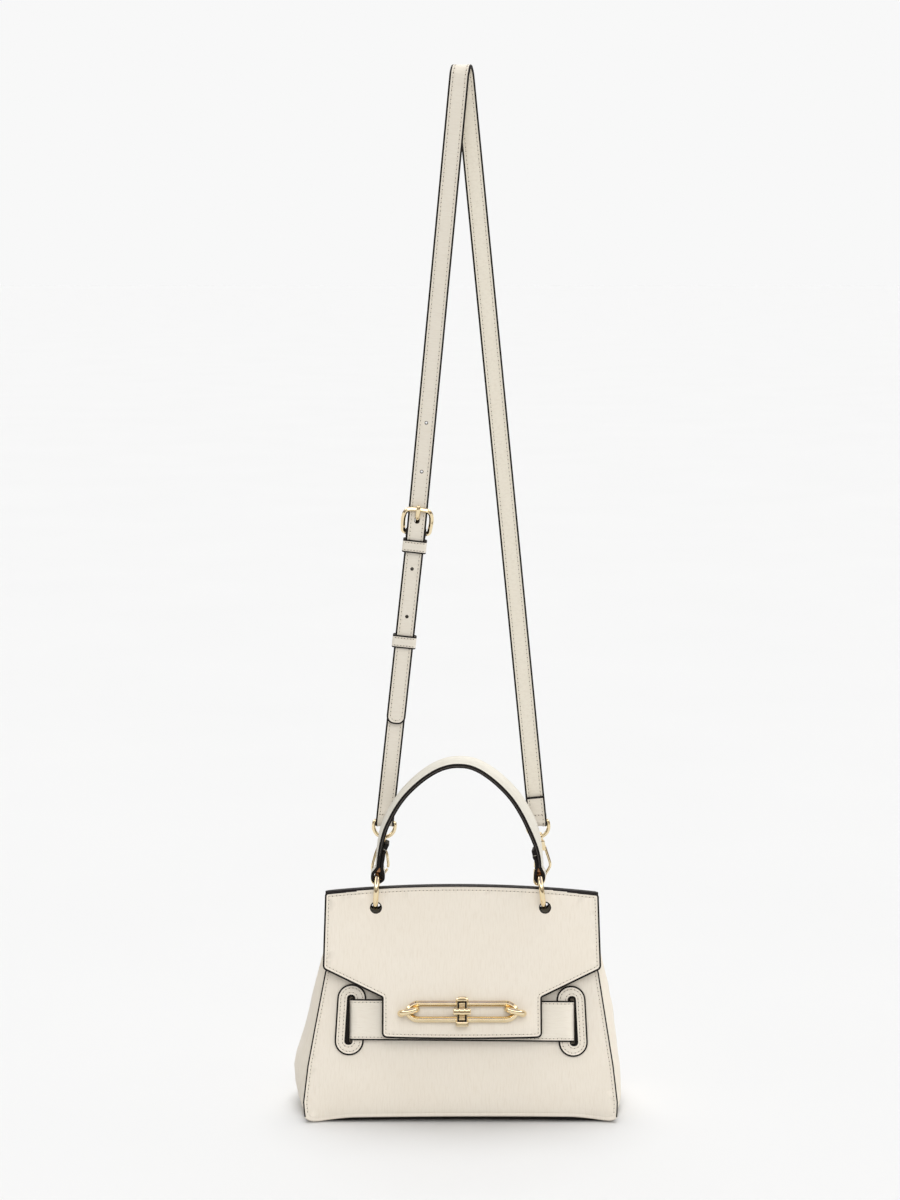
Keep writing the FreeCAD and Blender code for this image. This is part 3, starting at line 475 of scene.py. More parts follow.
def panel(shape, base, put, prof, holes=(), hole_prof=None, grid=5.0, step=2.5, turn=None, hole_step=1.0):
    """A flat piece with a worked edge: rings round its outline and holes, and a triangulated face on each side."""
    turn = turn or (lambda u, v: (u, v))
    loops = [(base if area2(base) > 0 else list(reversed(base)), prof, step)]
    for hbase in holes:
        loops.append((hbase if area2(hbase) < 0 else list(reversed(hbase)), hole_prof, hole_step))
    first, last, fid, lid = [], [], [], []
    for b, pr, st in loops:
        prev = None
        for j, (d, h, k) in enumerate(pr):
            ring = ring_at(b, d, st)
            ids = [shape.vert(put(p[0], p[1], h), turn(p[0], p[1])) for p in ring]
            if prev is not None:
                shape.strip(prev, ids, pr[j - 1][2])
            if j == 0:
                first.append(ring)
                fid.append(ids)
            prev = ids
        last.append(ring)
        lid.append(prev)
    cap(shape, first, fid, put, prof[0][1], grid, prof[0][2], turn)
    cap(shape, last, lid, put, prof[-1][1], grid, prof[-1][2], turn)
    return shape


def resample(line, closed):
    p = np.asarray(line, float)
    if closed:
        p = np.vstack([p, p[:1]])
    seg = np.linalg.norm(np.diff(p, axis=0), axis=1)
    s = np.concatenate([[0], np.cumsum(seg)])
    return p, s


def sew(shape, line, put, closed=True, pitch=3.0, length=2.0, r=0.34, h=0.0, sink=0.14, k=0, pits=True, kp=1):
    """A row of real stitches along a line on a surface, each end going down into a needle hole."""
    p, s = resample(line, closed)
    total = s[-1]
    n = max(1, int(round(total / pitch)))
    pt = total / n

    def at(x):
        x = x % total if closed else min(max(x, 0.0), total)
        return np.array([np.interp(x, s, p[:, 0]), np.interp(x, s, p[:, 1])])

    sides = 6
    for i in range(n):
        s0 = i * pt + (pt - length) / 2
        rings = []
        for w in (0.0, 0.22, 0.5, 0.78, 1.0):
            x = s0 + length * w
            c = at(x)
            t = unit(at(x + 0.15) - at(x - 0.15))
            side = np.array((-t[1], t[0]))
            lift = 1 - (2 * w - 1) ** 2
            rad = r * (0.55 if w in (0.0, 1.0) else 1.0)
            ids = []
            for q in range(sides):
                a = 2 * math.pi * q / sides
                o = side * (rad * math.cos(a))
                ids.append(shape.vert(put(c[0] + o[0], c[1] + o[1], h - sink + lift * (sink + r * 0.45) + rad * math.sin(a)),
                                      (x, a * r)))
            rings.append((ids, c, x))
        for (a, _, _), (b, _, _) in zip(rings, rings[1:]):
            shape.strip(a, b, k)
        for (ids, c, x) in (rings[0], rings[-1]):
            shape.fan(ids, put(c[0], c[1], h - sink - 0.05), k, (x, 0))
    # a shallow pit at each needle hole, its dark colour a painted shade
    if pits:
        for i in range(n if closed else n + 1):
            x = i * pt
            c = at(x)
            t = unit(at(x + 0.15) - at(x - 0.15))
            side = np.array((-t[1], t[0]))
            rings = []
            for f, up in ((0.62, 0.09), (1.0, -0.12)):
                ids = []
                for q in range(8):
                    a = 2 * math.pi * q / 8
                    o = t * (0.66 * f * math.cos(a)) + side * (0.42 * f * math.sin(a))
                    ids.append(shape.vert(put(c[0] + o[0], c[1] + o[1], h + up), (x + o[0], o[1])))
                rings.append(ids)
            shape.strip(rings[0], rings[1], kp)
            shape.fan(rings[0], put(c[0], c[1], h + 0.1), kp, (x, 0))
            shape.fan(list(reversed(rings[1])), put(c[0], c[1], h - 0.4), kp, (x, 0))


# ----------------------------------------------------------- sweeps and lathes
def sweep(shape, frames, section, closed_path=False, cap_ends=True, k_cap=0):
    """section(i) -> list of (n, b, material) round the path; frames -> list of (point, N, B, s)."""
    prev, first, mats = None, None, None
    for i, (p, nn, bb, s) in enumerate(frames):
        sec = section(i)
        ids = []
        run = 0.0
        for q, (a, b, k) in enumerate(sec):
            if q:
                run += math.hypot(a - sec[q - 1][0], b - sec[q - 1][1])
            ids.append(shape.vert(p + nn * a + bb * b, (run, s)))
        ks = [c[2] for c in sec]
        if prev is not None:
            n = len(ids)
            for j in range(n):
                m = (j + 1) % n
                shape.face((prev[j], prev[m], ids[m], ids[j]), ks[j])
        else:
            first = ids
        prev, mats = ids, ks
    if closed_path:
        n = len(first)
        for j in range(n):
            m = (j + 1) % n
            shape.face((prev[j], prev[m], first[m], first[j]), mats[j])
    elif cap_ends:
        for ids, fr in ((first, frames[0]), (prev, frames[-1])):
            mid = np.mean([shape.v[j] for j in ids], axis=0)
            shape.fan(ids, mid, k_cap)


def tube(shape, pts, r, closed=False, sides=18, k=0, caps=True, radius=None):
    """Round wire along points, its ends domed."""
    pts = np.asarray(pts, float)
    n = len(pts)
    tang = []
    for i in range(n):
        a, b = (pts[i - 1], pts[(i + 1) % n]) if closed else (pts[max(i - 1, 0)], pts[min(i + 1, n - 1)])
        tang.append(unit(b - a))
    ref = np.array((0.0, 1.0, 0.0)) if abs(tang[0][1]) < 0.9 else np.array((1.0, 0.0, 0.0))
    nrm = unit(ref - tang[0] * float(ref @ tang[0]))
    rows, s = [], 0.0
    frames = []
    for i in range(n):
        nrm = unit(nrm - tang[i] * float(nrm @ tang[i]))
        if i:
            s += float(np.linalg.norm(pts[i] - pts[i - 1]))
        frames.append((pts[i], nrm, np.cross(tang[i], nrm), s))
    if not closed and caps:
        head, tail = [], []
        for a in (80, 60, 40, 20):
            a = math.radians(a)
            head.append((pts[0] - tang[0] * (radius(0) if radius else r) * math.sin(a), math.cos(a), 0))
        for a in (20, 40, 60, 80):
            a = math.radians(a)
            tail.append((pts[-1] + tang[-1] * (radius(n - 1) if radius else r) * math.sin(a), math.cos(a), n - 1))
        rows = head + [(pts[i], 1.0, i) for i in range(n)] + tail
    else:
        rows = [(pts[i], 1.0, i) for i in range(n)]
    prev = first = None
    for p, f, i in rows:
        rr = (radius(i) if radius else r) * f
        ids = []
        for q in range(sides):
            a = 2 * math.pi * q / sides
            ids.append(shape.vert(p + frames[i][1] * (rr * math.cos(a)) + frames[i][2] * (rr * math.sin(a)), (rr * a, frames[i][3])))
        if prev is None:
            first = ids
        else:
            shape.strip(prev, ids, k)
        prev = ids
    if closed:
        # the last ring may have turned about the wire, so it joins to the nearest start
        d = [sum((shape.v[prev[0]][c] - shape.v[first[q]][c]) ** 2 for c in range(3)) for q in range(sides)]
        o = int(np.argmin(d))
        shape.strip(prev, [first[(q + o) % sides] for q in range(sides)], k)
    else:
        shape.fan(first, np.mean([shape.v[j] for j in first], axis=0), k)
        shape.fan(prev, np.mean([shape.v[j] for j in prev], axis=0), k)


def lathe(shape, origin, axis, profile, sides=28, k=0):
    """profile: (distance along axis, radius)."""
    axis = unit(axis)
    ref = np.array((0.0, 1.0, 0.0)) if abs(axis[1]) < 0.9 else np.array((1.0, 0.0, 0.0))
    a0 = unit(ref - axis * float(ref @ axis))
    b0 = np.cross(axis, a0)
    prev = first = None
    for t, r in profile:
        c = np.asarray(origin, float) + axis * t
        ids = [shape.vert(c + a0 * (r * math.cos(2 * math.pi * q / sides)) + b0 * (r * math.sin(2 * math.pi * q / sides)), (t, q))
               for q in range(sides)]
        if prev is None:
            first = ids
        else:
            shape.strip(prev, ids, k)
        prev = ids
    shape.fan(first, np.mean([shape.v[j] for j in first], axis=0), k)
    shape.fan(prev, np.mean([shape.v[j] for j in prev], axis=0), k)


def plate(shape, base, put, t, bevel, holes=(), k=0, grid=2.0, step=0.8, crown=None):
    """A metal plate with rounded edges; its front face at height 0."""
    pr = [(bevel, 0.0, k), (bevel * 0.45, -bevel * 0.12, k), (bevel * 0.12, -bevel * 0.45, k), (0.0, -bevel, k),
          (0.0, -(t - bevel), k), (bevel * 0.12, -(t - bevel * 0.45), k), (bevel * 0.45, -(t - bevel * 0.12), k), (bevel, -t, k)]
    panel(shape, base, put, pr, holes=holes, hole_prof=pr, grid=grid, step=step, hole_step=0.6)


# --------------------------------------------------------------- shared frames
FL_T = np.array((0.0, -0.326136, -0.945323))   # down the flap
FL_N = np.array((0.0, -0.945323, 0.326136))
FL_O = np.array((0.0, -3.6, 177.0))
PA_T = np.array((0.0, 0.278530, 0.960428))     # up the front panel
PA_N = np.array((0.0, -0.960428, 0.278530))
PA_O = np.array((0.0, -49.0, 4.0))
BK_T = np.array((0.0, 0.258870, -0.965912))    # down the back panel
BK_N = np.array((0.0, 0.965912, 0.258870))
BK_O = np.array((0.0, 2.65, 177.0))
X = np.array((1.0, 0.0, 0.0))


def flap_put(u, v, h):
    lift = 0.35 * wave(u, v, 1, 55.0) * smooth(0, 30, v)
    return FL_O + X * u + FL_T * v + FL_N * (h + lift)


def panel_put(u, v, h):
    # the face swells a little between the seams and rolls under along the foot
    swell = 1.1 * math.cos(min(1.0, abs(u) / 122.0) * math.pi / 2) * math.sin(math.pi * min(1.0, max(0.0, (v + 6) / 66.0))) if v < 60 else 0.0
    roll = max(0.0, (9.0 - v) / 9.0)
    dent = 0.3 * wave(u, v, 2, 48.0) * smooth(2, 14, v) * (1 - smooth(44, 54, v))
    p = PA_O + X * u + PA_T * v + PA_N * (h + swell + dent)
    under = max(0.0, (24.0 - v) / 24.0)
    p = p + np.array((0.0, 0.7 * roll * roll + 1.6 * under * under * (1 - smooth(100, 120, abs(u))), 0.0))
    return p


def back_put(u, v, h):
    swell = 0.9 * math.cos(min(1.0, abs(u) / 122.0) * math.pi / 2) * math.sin(math.pi * min(1.0, max(0.0, (v - 40) / 145.0)))
    roll = max(0.0, (v - 170.0) / 10.0)
    dent = 0.35 * wave(u, v, 3, 52.0)
    return BK_O + X * u + BK_T * v + BK_N * (h + swell + dent) - np.array((0.0, 2.2 * roll * roll, 0.0))


def circle(cx, cy, r, n=20):
    return [(cx + r * math.cos(2 * math.pi * k / n), cy + r * math.sin(2 * math.pi * k / n), 0.0) for k in range(n)]


def oval(cx, cy, hx, hy, r):
    return [(cx - hx, cy - hy, r), (cx + hx, cy - hy, r), (cx + hx, cy + hy, r), (cx - hx, cy + hy, r)]


def leaning(cx, cy, hx, hy, r, lean):
    """An upright oval leaning over by an angle."""
    a = math.radians(lean)
    out = []
    for x, y, q in oval(0, 0, hx, hy, r):
        out.append((cx + x * math.cos(a) + y * math.sin(a), cy - x * math.sin(a) + y * math.cos(a), q))
    return out


def slot_at(side, grow):
    """The belt's slot on one side."""
    return leaning(-88.2 if side < 0 else 87.3, 75.7 if side < 0 else 74.6, 2.5 + grow, 18.7 + grow, 2.1 + grow, 3.4 if side < 0 else -2.6)


def crest(x):
    """How far the top edge lies below the height of 177."""
    return -1.2 + 5.9 * (x / 108.3) ** 2 + 0.5 * x / 108.3


def arch(half, n=26):
    return [(-half + 2 * half * k / n, crest(-half + 2 * half * k / n)) for k in range(n + 1)]


PLAIN_HOLE = lambda t: [(0.9, 0.0, 1), (0.35, -0.08, 1), (0.0, -0.5, 1), (0.0, -(t - 0.5), 1), (0.35, -(t - 0.08), 1), (0.9, -t, 2)]

# ------------------------------------------------------------------ front panel
foot = []
for k in range(61):
    x = -120.0 + 240.0 * k / 60
    foot.append((x, 0.1 + 0.003 * x - 0.8 * (x / 100.0) ** 2 - 2.45 * smooth(84, 116, abs(x)) + 1.2 * max(0.0, (abs(x) - 114.0) / 6.0) ** 2, 0.0))
sides = [(122.0, 4.0, 0.0), (122.3, 12.0, 0.0), (119.2, 40.0, 0.0), (114.6, 70.0, 0.0), (108.2, 112.0, 0.0), (104.3, 127.0, 3.0)]
# the left side is cut a little wider towards the foot
left_sides = [(124.0, 4.0, 0.0), (124.7, 12.0, 0.0), (121.5, 40.0, 0.0), (116.1, 70.0, 0.0), (108.3, 112.0, 0.0), (104.3, 127.0, 3.0)]
front_base = foot + [(121.6, -0.4, 1.4)] + sides + [(-x, y, r) for x, y, r in reversed(left_sides)] + [(-123.3, -0.6, 1.6)]
slots = [oval(s * 87.15, 75.7 if s < 0 else 74.6, 1.6, 18.0, 1.4) for s in (-1, 1)]
sh = Shape()
# round each belt slot the panel's face is painted black out to 3.6 mm: painted shade, so the opening seen through the
# patch's slot looks dark
panel(sh, front_base, panel_put, rim(2.3, lap=1.15, stitch=3.0), holes=slots, hole_prof=[(3.6, 0.0, 1), (2.0, -0.02, 1)] + PLAIN_HOLE(2.3), grid=5.0)
# along the foot the leather is turned under, so its edge is not painted there
for n, ids in enumerate(sh.f):
    mx, mz = abs(np.mean([sh.v[i][0] for i in ids])), np.mean([sh.v[i][2] for i in ids])
    if sh.k[n] == 1 and (mz < 4.5 or (mz < 9.0 and mx < 118.5)):
        sh.k[n] = 0
front = make("front_panel_leather", sh, [LEATHER, PAINT, REVERSE], "bag", ["front_panel"])
line = ring_at(front_base if area2(front_base) > 0 else list(reversed(front_base)), 3.0, 2.5)
side_rows = [[p for p in line if p[0] < -60 and 4.0 < p[1] < 126 and abs(p[0]) > 100], [p for p in line if p[0] > 60 and 4.0 < p[1] < 126 and abs(p[0]) > 100]]
sh = Shape()
for row in side_rows:
    row = sorted(row, key=lambda p: p[1])
    sew(sh, row, panel_put, closed=False, h=-0.2)
make("front_panel_stitching", sh, [THREAD, PIT], "bag")

# ------------------------------------------------------------------- back panel
top = [(x, v, 0.0) for x, v in arch(108.3)]
top[0] = (top[0][0], top[0][1], 3.0)
top[-1] = (top[-1][0], top[-1][1], 3.0)
low = [(110.5, 66.0, 0.0), (117.5, 120.0, 0.0), (122.2, 165.0, 0.0), (121.5, 178.0, 0.0), (119.0, 182.2, 3.0)]
back_base = top + low + [(x, 182.2 - 5.0 * (1 - (abs(x) / 112.0) ** 2.2), 0.0) for x in np.linspace(112, -112, 23)] + [(-x, y, r) for x, y, r in reversed(low)]
back_holes = [circle(x, (177 - 161.6) / 0.965912, 3.9) for x in (-68.3, 64.8)]
sh = Shape()
panel(sh, back_base, back_put, rim(2.3, lap=1.5, stitch=3.3), holes=back_holes, hole_prof=PLAIN_HOLE(2.3), grid=5.5)
make("back_panel_leather", sh, [LEATHER, PAINT, REVERSE], "bag", ["back_panel"])
line = ring_at(back_base if area2(back_base) > 0 else list(reversed(back_base)), 3.3, 2.5)
sh = Shape()
left_row = sorted([p for p in line if p[0] < -100 and 8 < p[1] < 178], key=lambda p: p[1])
right_row = sorted([p for p in line if p[0] > 100 and 8 < p[1] < 178], key=lambda p: p[1])
top_row = sorted([p for p in line if p[1] < 10.2], key=lambda p: p[0])
for row in (left_row, right_row, top_row):
    sew(sh, row, back_put, closed=False, h=-0.2)
make("back_panel_stitching", sh, [THREAD, PIT], "bag")

# ------------------------------------------------------------------------- flap
top = [(x, v, 0.0) for x, v in arch(108.3)]
top[0] = (top[0][0], top[0][1], 2.6)
top[-1] = (top[-1][0], top[-1][1], 2.6)
right = [(109.6, 63.5, 4.2), (62.8, 85.7, 1.2), (62.8, 116.7, 4.2)]
bottom = [(x, 116.9 + 0.9 * (1 - (x / 62.0) ** 2), 0.0) for x in np.linspace(52, -52, 15)]
flap_base = top + right + bottom + [(-x, y, r) for x, y, r in reversed(right)]
flap_holes = [circle(x, (177 - 162.1) / 0.945323, 3.9) for x in (-67.9, 65.7)] + [circle(0.0, 96.4, 2.6)]
sh = Shape()
panel(sh, flap_base, flap_put, rim(2.7, lap=1.45, stitch=3.2), holes=flap_holes, hole_prof=PLAIN_HOLE(2.7), grid=4.5)
# along the top the painted line narrows towards the middle
for n, ids in enumerate(sh.f):
    mx, my, mz = np.mean([sh.v[i] for i in ids], axis=0)
    down = (177.0 - mz) / 0.945 - crest(mx)
    if sh.k[n] == 1 and abs(mx) < 104 and 0.25 + 1.4 * smooth(62, 104, abs(mx)) < down < 2.5 and my < -3.6 - 0.345 * (177.0 - mz) + 0.5:
        sh.k[n] = 0
flap = make("flap_leather", sh, [LEATHER, PAINT, REVERSE], None, ["flap", "flap_top_band"])
sh = Shape()
sew(sh, ring_at(flap_base if area2(flap_base) > 0 else list(reversed(flap_base)), 3.2, 2.5), flap_put, h=-0.2)
flap_sewing = make("flap_stitching", sh, [THREAD, PIT], None)
for ob in (flap, flap_sewing):
    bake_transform(ob)

# black bead over the joint of the flap and the back
sh = Shape()
frames = []
for k in range(61):
    x = -108.0 + 216.0 * k / 60
    slope = crest(x - 0.5) - crest(x + 0.5)
    t = unit((1, 0, slope))
    frames.append((np.array((x, -0.6, 177.0 - crest(x))), unit((-t[2], 0, t[0])), np.array((0.0, 1.0, 0.0)), x))


def bead_section(i):
    w = abs(i - 30) / 30.0
    up, low = 0.3 + 0.4 * w * w, 0.3 + 2.3 * smooth(0.5, 1.0, w)
    f = 0.6 if i in (0, 60) else 0.92 if i in (1, 59) else 1.0
    pts = [(-low, -(3.05 + 0.345 * low)), (-low * 0.9, -(3.35 + 0.345 * low)), (-low * 0.3, -(3.35 + 0.1 * low)), (0.35 * up, -2.95), (0.85 * up, -1.7), (up, 0.0),
           (0.85 * up, 1.7), (0.35 * up, 2.95), (-low * 0.3, 3.5 + 0.08 * low), (-low * 0.9, 3.55 + 0.268 * low), (-low, 3.25 + 0.268 * low), (-low * 0.9, 0.0)]
    return [(a * f, b * f, 0) for a, b in pts]


sweep(sh, frames, bead_section)
make("top_seam_bead", sh, [PAINT], "bag")


# ---------------------------------------------------------------------- gussets
def gusset(side):
    zs = [-1.0, 4.0, 10.0, 20.0, 30.0, 40.0, 58.0, 78.0, 98.0, 118.0, 144.0, 158.0]
    xf = [120.6, 121.5, 121.0, 119.6, 118.3, 116.9, 113.8, 110.5, 107.0, 103.8, 99.0, 96.0] if side < 0 else \
        [118.8, 119.5, 118.7, 117.3, 116.0, 114.6, 112.2, 109.5, 106.8, 103.8, 99.0, 96.0]
    xm = [121.0, 128.0, 131.0, 133.6, 134.2, 132.2, 126.2, 121.4, 117.4, 111.8, 101.5, 96.0] if side < 0 else \
        [121.0, 127.0, 127.7, 127.7, 127.2, 125.8, 123.0, 120.6, 117.6, 112.2, 101.5, 96.0]
    xb = [118.8, 119.5, 118.9, 117.9, 117.0, 116.0, 113.9, 111.6, 109.2, 107.1, 105.0, 103.5]
    rows = 64
    cols = 40
    sh = Shape()

    def at(i, j, inner):
        s = j / cols
        low = 0.9 + 4.2 * (math.exp(-(s / 0.07) ** 2) + math.exp(-((1 - s) / 0.07) ** 2))
        z = low + (156.0 - low) * i / rows
        cubic = lambda ys: float(np.interp(z, zs, ys))
        f, m, b = cubic(xf), cubic(xm), cubic(xb)
        yf = -49 + 0.29 * (z - 4) + 2.35 * 1.04
        yb = 2.65 + 0.268 * (177 - z) - 2.35 * 1.035
        bow = m - (f + b) / 2
        x = f + (b - f) * s + bow * (4 * s * (1 - s)) ** 0.8
        # a soft pleat that deepens towards the top
        pleat = 7.0 * smooth(70, 150, z) * math.exp(-((s - 0.52) / 0.11) ** 2)
        sag = 1.1 * wave(s * 90, z, 4 + side, 42.0) * (4 * s * (1 - s)) + 0.5 * wave(s * 90, z, 9 + side, 17.0) * (4 * s * (1 - s))
        foot = max(0.0, (9.0 - z) / 9.0)
        x = x - pleat + sag - 3.5 * foot * foot * (0.4 + 0.6 * 4 * s * (1 - s))
        y = yf + (yb - yf) * s
        return np.array((side * (x - (1.7 if inner else 0.0)), y, z))

    for inner in (False, True):
        ids = [[sh.vert(at(i, j, inner), (j * 2.2, i * 2.42)) for j in range(cols + 1)] for i in range(rows + 1)]
        for i in range(rows):
            for j in range(cols):
                sh.face((ids[i][j], ids[i][j + 1], ids[i + 1][j + 1], ids[i + 1][j]), 1 if inner else 0)
        if inner:
            b = ids
        else:
            a = ids
    ring_a = a[0] + [a[i][-1] for i in range(1, rows + 1)] + list(reversed(a[-1][:-1])) + [a[i][0] for i in range(rows - 1, 0, -1)]
    ring_b = b[0] + [b[i][-1] for i in range(1, rows + 1)] + list(reversed(b[-1][:-1])) + [b[i][0] for i in range(rows - 1, 0, -1)]
    first = len(sh.f)
    sh.strip(ring_a, ring_b, 2)
    # the edge under the foot is turned in and not painted
    for n in range(first, len(sh.f)):
        if np.mean([sh.v[i][2] for i in sh.f[n]]) < 8.0:
            sh.k[n] = 0
    word = "left" if side < 0 else "right"
    return make(word + "_gusset_leather", sh, [LEATHER_SOFT, REVERSE, PAINT], "bag", [word + "_gusset"])


gusset(-1)
gusset(1)

# ------------------------------------------------------------------------- base
base = [(x, y, 7.0) for x, y in ((-116.5, -45.4), (116.5, -45.4), (116.5, 46.2), (-116.5, 46.2))]


def base_put(u, v, h):
    hump = 1.2 * (1 - min(1.0, abs(u) / 112.0) ** 2)
    return np.array((u, v, 5.2 + h - hump * h / 5.2))


sh = Shape()
panel(sh, base, base_put, rim(5.2, lap=2.0, stitch=0, bead=0.0, b=1.5), grid=7.0)
make("base_leather", sh, [LEATHER, PAINT, LEATHER], "bag", ["base_panel"])

# ----------------------------------------------------------------------- lining
sh = Shape()


def lining_loop(z, inset):
    """Points round the inside at one height, front to right to back to left."""
    yf = -49 + 0.29 * (z - 4) + 5.1 + inset
    yb = 2.65 + 0.268 * (177 - z) - 5.0 - inset
    zs = [4.0, 40.0, 113.0, 144.0, 158.0]
    hf = float(np.interp(z, zs, [114.5, 109.8, 100.0, 94.0, 90.0])) - inset
    hm = float(np.interp(z, zs, [120.0, 120.5, 104.5, 87.0, 80.0])) - inset
    hb = float(np.interp(z, zs, [114.5, 111.0, 102.5, 98.5, 96.0])) - inset
    pts = []
    for k in range(44):
        pts.append((-hf + 2 * hf * k / 44, yf))
    for k in range(18):
        s = k / 18
        pts.append((hf + (hb - hf) * s + (hm - (hf + hb) / 2) * (4 * s * (1 - s)), yf + (yb - yf) * s))
    for k in range(44):
        pts.append((hb - 2 * hb * k / 44, yb))
    for k in range(18):
        s = 1 - k / 18
        pts.append((-(hf + (hb - hf) * s + (hm - (hf + hb) / 2) * (4 * s * (1 - s))), yf + (yb - yf) * s))
    return pts


def lining_top(k):
    if k < 44:
        return 124.0
    if k < 62:
        return 124.0 + 18.0 * smooth(0, 1, (k - 44) / 18)
    if k < 106:
        return 142.0
    return 142.0 - 18.0 * smooth(0, 1, (k - 106) / 18)


rows = 30
layers = []
for inset in (0.0, 0.8):
    ids = []
    for i in range(rows + 1):
        loop_ids = []
        for k in range(124):
            z = 5.6 + inset + (lining_top(k) - 5.6 - inset) * i / rows
            px, py = lining_loop(z, inset)[k]
            w = 0.7 * wave(k * 4.0, z, 12, 26.0) * smooth(6, 30, z) * (1 - smooth(lining_top(k) - 14, lining_top(k), z))
            c = np.array((0.0, -10.0))
            d = unit(np.array((px, py)) - c)
            loop_ids.append(sh.vert((px - d[0] * abs(w), py - d[1] * abs(w), z), (k * 4.0, z)))
        ids.append(loop_ids)
    layers.append(ids)
for n, ids in enumerate(layers):
    for i in range(rows):
        sh.strip(ids[i], ids[i + 1], 0)
    sh.fan(ids[0], (0.0, -6.0, 5.6 + 0.8 * n), 0)
sh.strip(layers[0][-1], layers[1][-1], 0)
make("lining_bag", sh, [LINING], "bag", ["front_lining", "back_lining", "left_lining", "right_lining"])

# ------------------------------------------------------------ belt and its slots
for side, word in ((-1, "left"), (1, "right")):
    sh = Shape()
    out = leaning(-87.7 if side < 0 else 86.7, 75.7 if side < 0 else 74.5, 11.5, 27.6, 11.3, 3.4 if side < 0 else -2.6)
    hole = slot_at(side, 0.0)

    def patch_put(u, v, h):
        return panel_put(u, v, h + 1.55)

    hp = [(3.2, 0.0, 0), (2.8, -0.08, 0), (2.4, -0.16, 0), (2.0, -0.08, 0), (1.6, 0.06, 0), (0.8, 0.05, 1), (0.4, 0.04, 1), (0.0, -0.5, 1),
          (0.0, -0.9, 1), (0.4, -1.4, 1), (0.8, -1.4, 2)]
    panel(sh, out, patch_put, rim(1.4, lap=1.3, stitch=2.9, groove=0.16), holes=[hole], hole_prof=hp, grid=2.5, step=1.2, hole_step=1.0)
    make(word + "_slot_patch_leather", sh, [LEATHER, PAINT, REVERSE], "bag", [word + "_slot_patch"])
    sh = Shape()
    sew(sh, ring_at(out if area2(out) > 0 else list(reversed(out)), 2.9, 1.5), patch_put, h=-0.16, pitch=2.9)
    sew(sh, ring_at(hole if area2(hole) < 0 else list(reversed(hole)), 2.4, 1.5), patch_put, h=-0.16, pitch=2.9)
    make(word + "_slot_patch_stitching", sh, [THREAD, PIT], "bag")


def belt_path():
    pts = [(-70.0, -3.65), (-80.0, -3.6)]
    for k in range(13):
        a = math.radians(-90 - 180 * k / 12)
        pts.append((-83.9 + 3.25 * math.cos(a), -0.35 + 3.25 * math.sin(a)))
    pts += [(-78.0, 2.95), (-60.0, 2.95), (0.0, 2.95)]
    return pts + [(-x, n) for x, n in reversed(pts[:-1])]


def smooth_line(pts, step):
    """Points at an even step along a line."""
    p, s = resample(pts, False)
    n = int(round(s[-1] / step))
    q = np.linspace(0, s[-1], n + 1)
    return np.array([[np.interp(x, s, p[:, c]) for c in range(p.shape[1])] for x in q]), q


belt_line, belt_s = smooth_line(belt_path(), 0.8)
belt_len = belt_s[-1]


def belt_put(u, s, h):
    """u across the belt (up the panel), s along it from the middle."""
    x = min(max(s + belt_len / 2, 0.0), belt_len)
    a = np.array([np.interp(x, belt_s, belt_line[:, c]) for c in (0, 1)])
    b0 = np.array([np.interp(max(x - 0.5, 0), belt_s, belt_line[:, c]) for c in (0, 1)])
    b1 = np.array([np.interp(min(x + 0.5, belt_len), belt_s, belt_line[:, c]) for c in (0, 1)])
    t = unit(b1 - b0)
    nrm = np.array((-t[1], t[0]))
    q = a + nrm * h
    # flat on the leaning panel, with no swell of the panel below it
    return PA_O + X * q[0] + PA_T * (u - 0.6 - 0.0085 * q[0]) + PA_N * q[1]


half = belt_len / 2
sh = Shape()
belt_base = [(59.9, -half, 1.5), (91.7, -half, 1.5), (91.7, half, 1.5), (59.9, half, 1.5)]
panel(sh, belt_base, lambda u, s, h: belt_put(u, s, h + 1.1), rim(2.2, lap=1.2, stitch=2.4, groove=0.16), grid=4.0, step=1.0,
      turn=lambda u, s: (u, s))
make("front_belt_leather", sh, [LEATHER_STRAP, PAINT, REVERSE], "bag", ["front_belt"])
sh = Shape()
for u in (62.3, 89.3):
    sew(sh, [(u, -half + 18), (u, 0), (u, half - 18)], lambda a, b, h: belt_put(a, b, h + 1.1), closed=False, h=-0.16)
make("front_belt_stitching", sh, [THREAD, PIT], "bag")

# ------------------------------------------------------------------------- lock
L_O = FL_O + FL_T * 96.4


def lock(x, o, s):
    return L_O + X * x + FL_N * o - FL_T * s


def arc3(f, c, r, a0, a1, n):
    return [f(c[0] + r * math.cos(math.radians(a0 + (a1 - a0) * k / n)), c[1] + r * math.sin(math.radians(a0 + (a1 - a0) * k / n))) for k in range(n + 1)]


# long link: two ridged rails that draw in to blunt ends
def round_path(corners, radii, n=7, gap=2.0):
    """A closed line through corners, each rounded by its own radius."""
    c = [np.array(q, float) for q in corners]
    out = []
    m = len(c)
    for i in range(m):
        a, b, d = c[i - 1], c[i], c[(i + 1) % m]
        p0, p1 = b + unit(a - b) * radii[i], b + unit(d - b) * radii[i]
        for k in range(n + 1):
            t = k / n
            out.append((1 - t) ** 2 * p0 + 2 * t * (1 - t) * b + t * t * p1)
        p2 = d - unit(d - b) * radii[(i + 1) % m]
        steps = max(2, int(np.linalg.norm(p2 - p1) / gap))
        for k in range(1, steps):
            out.append(p1 + (p2 - p1) * k / steps)
    return out


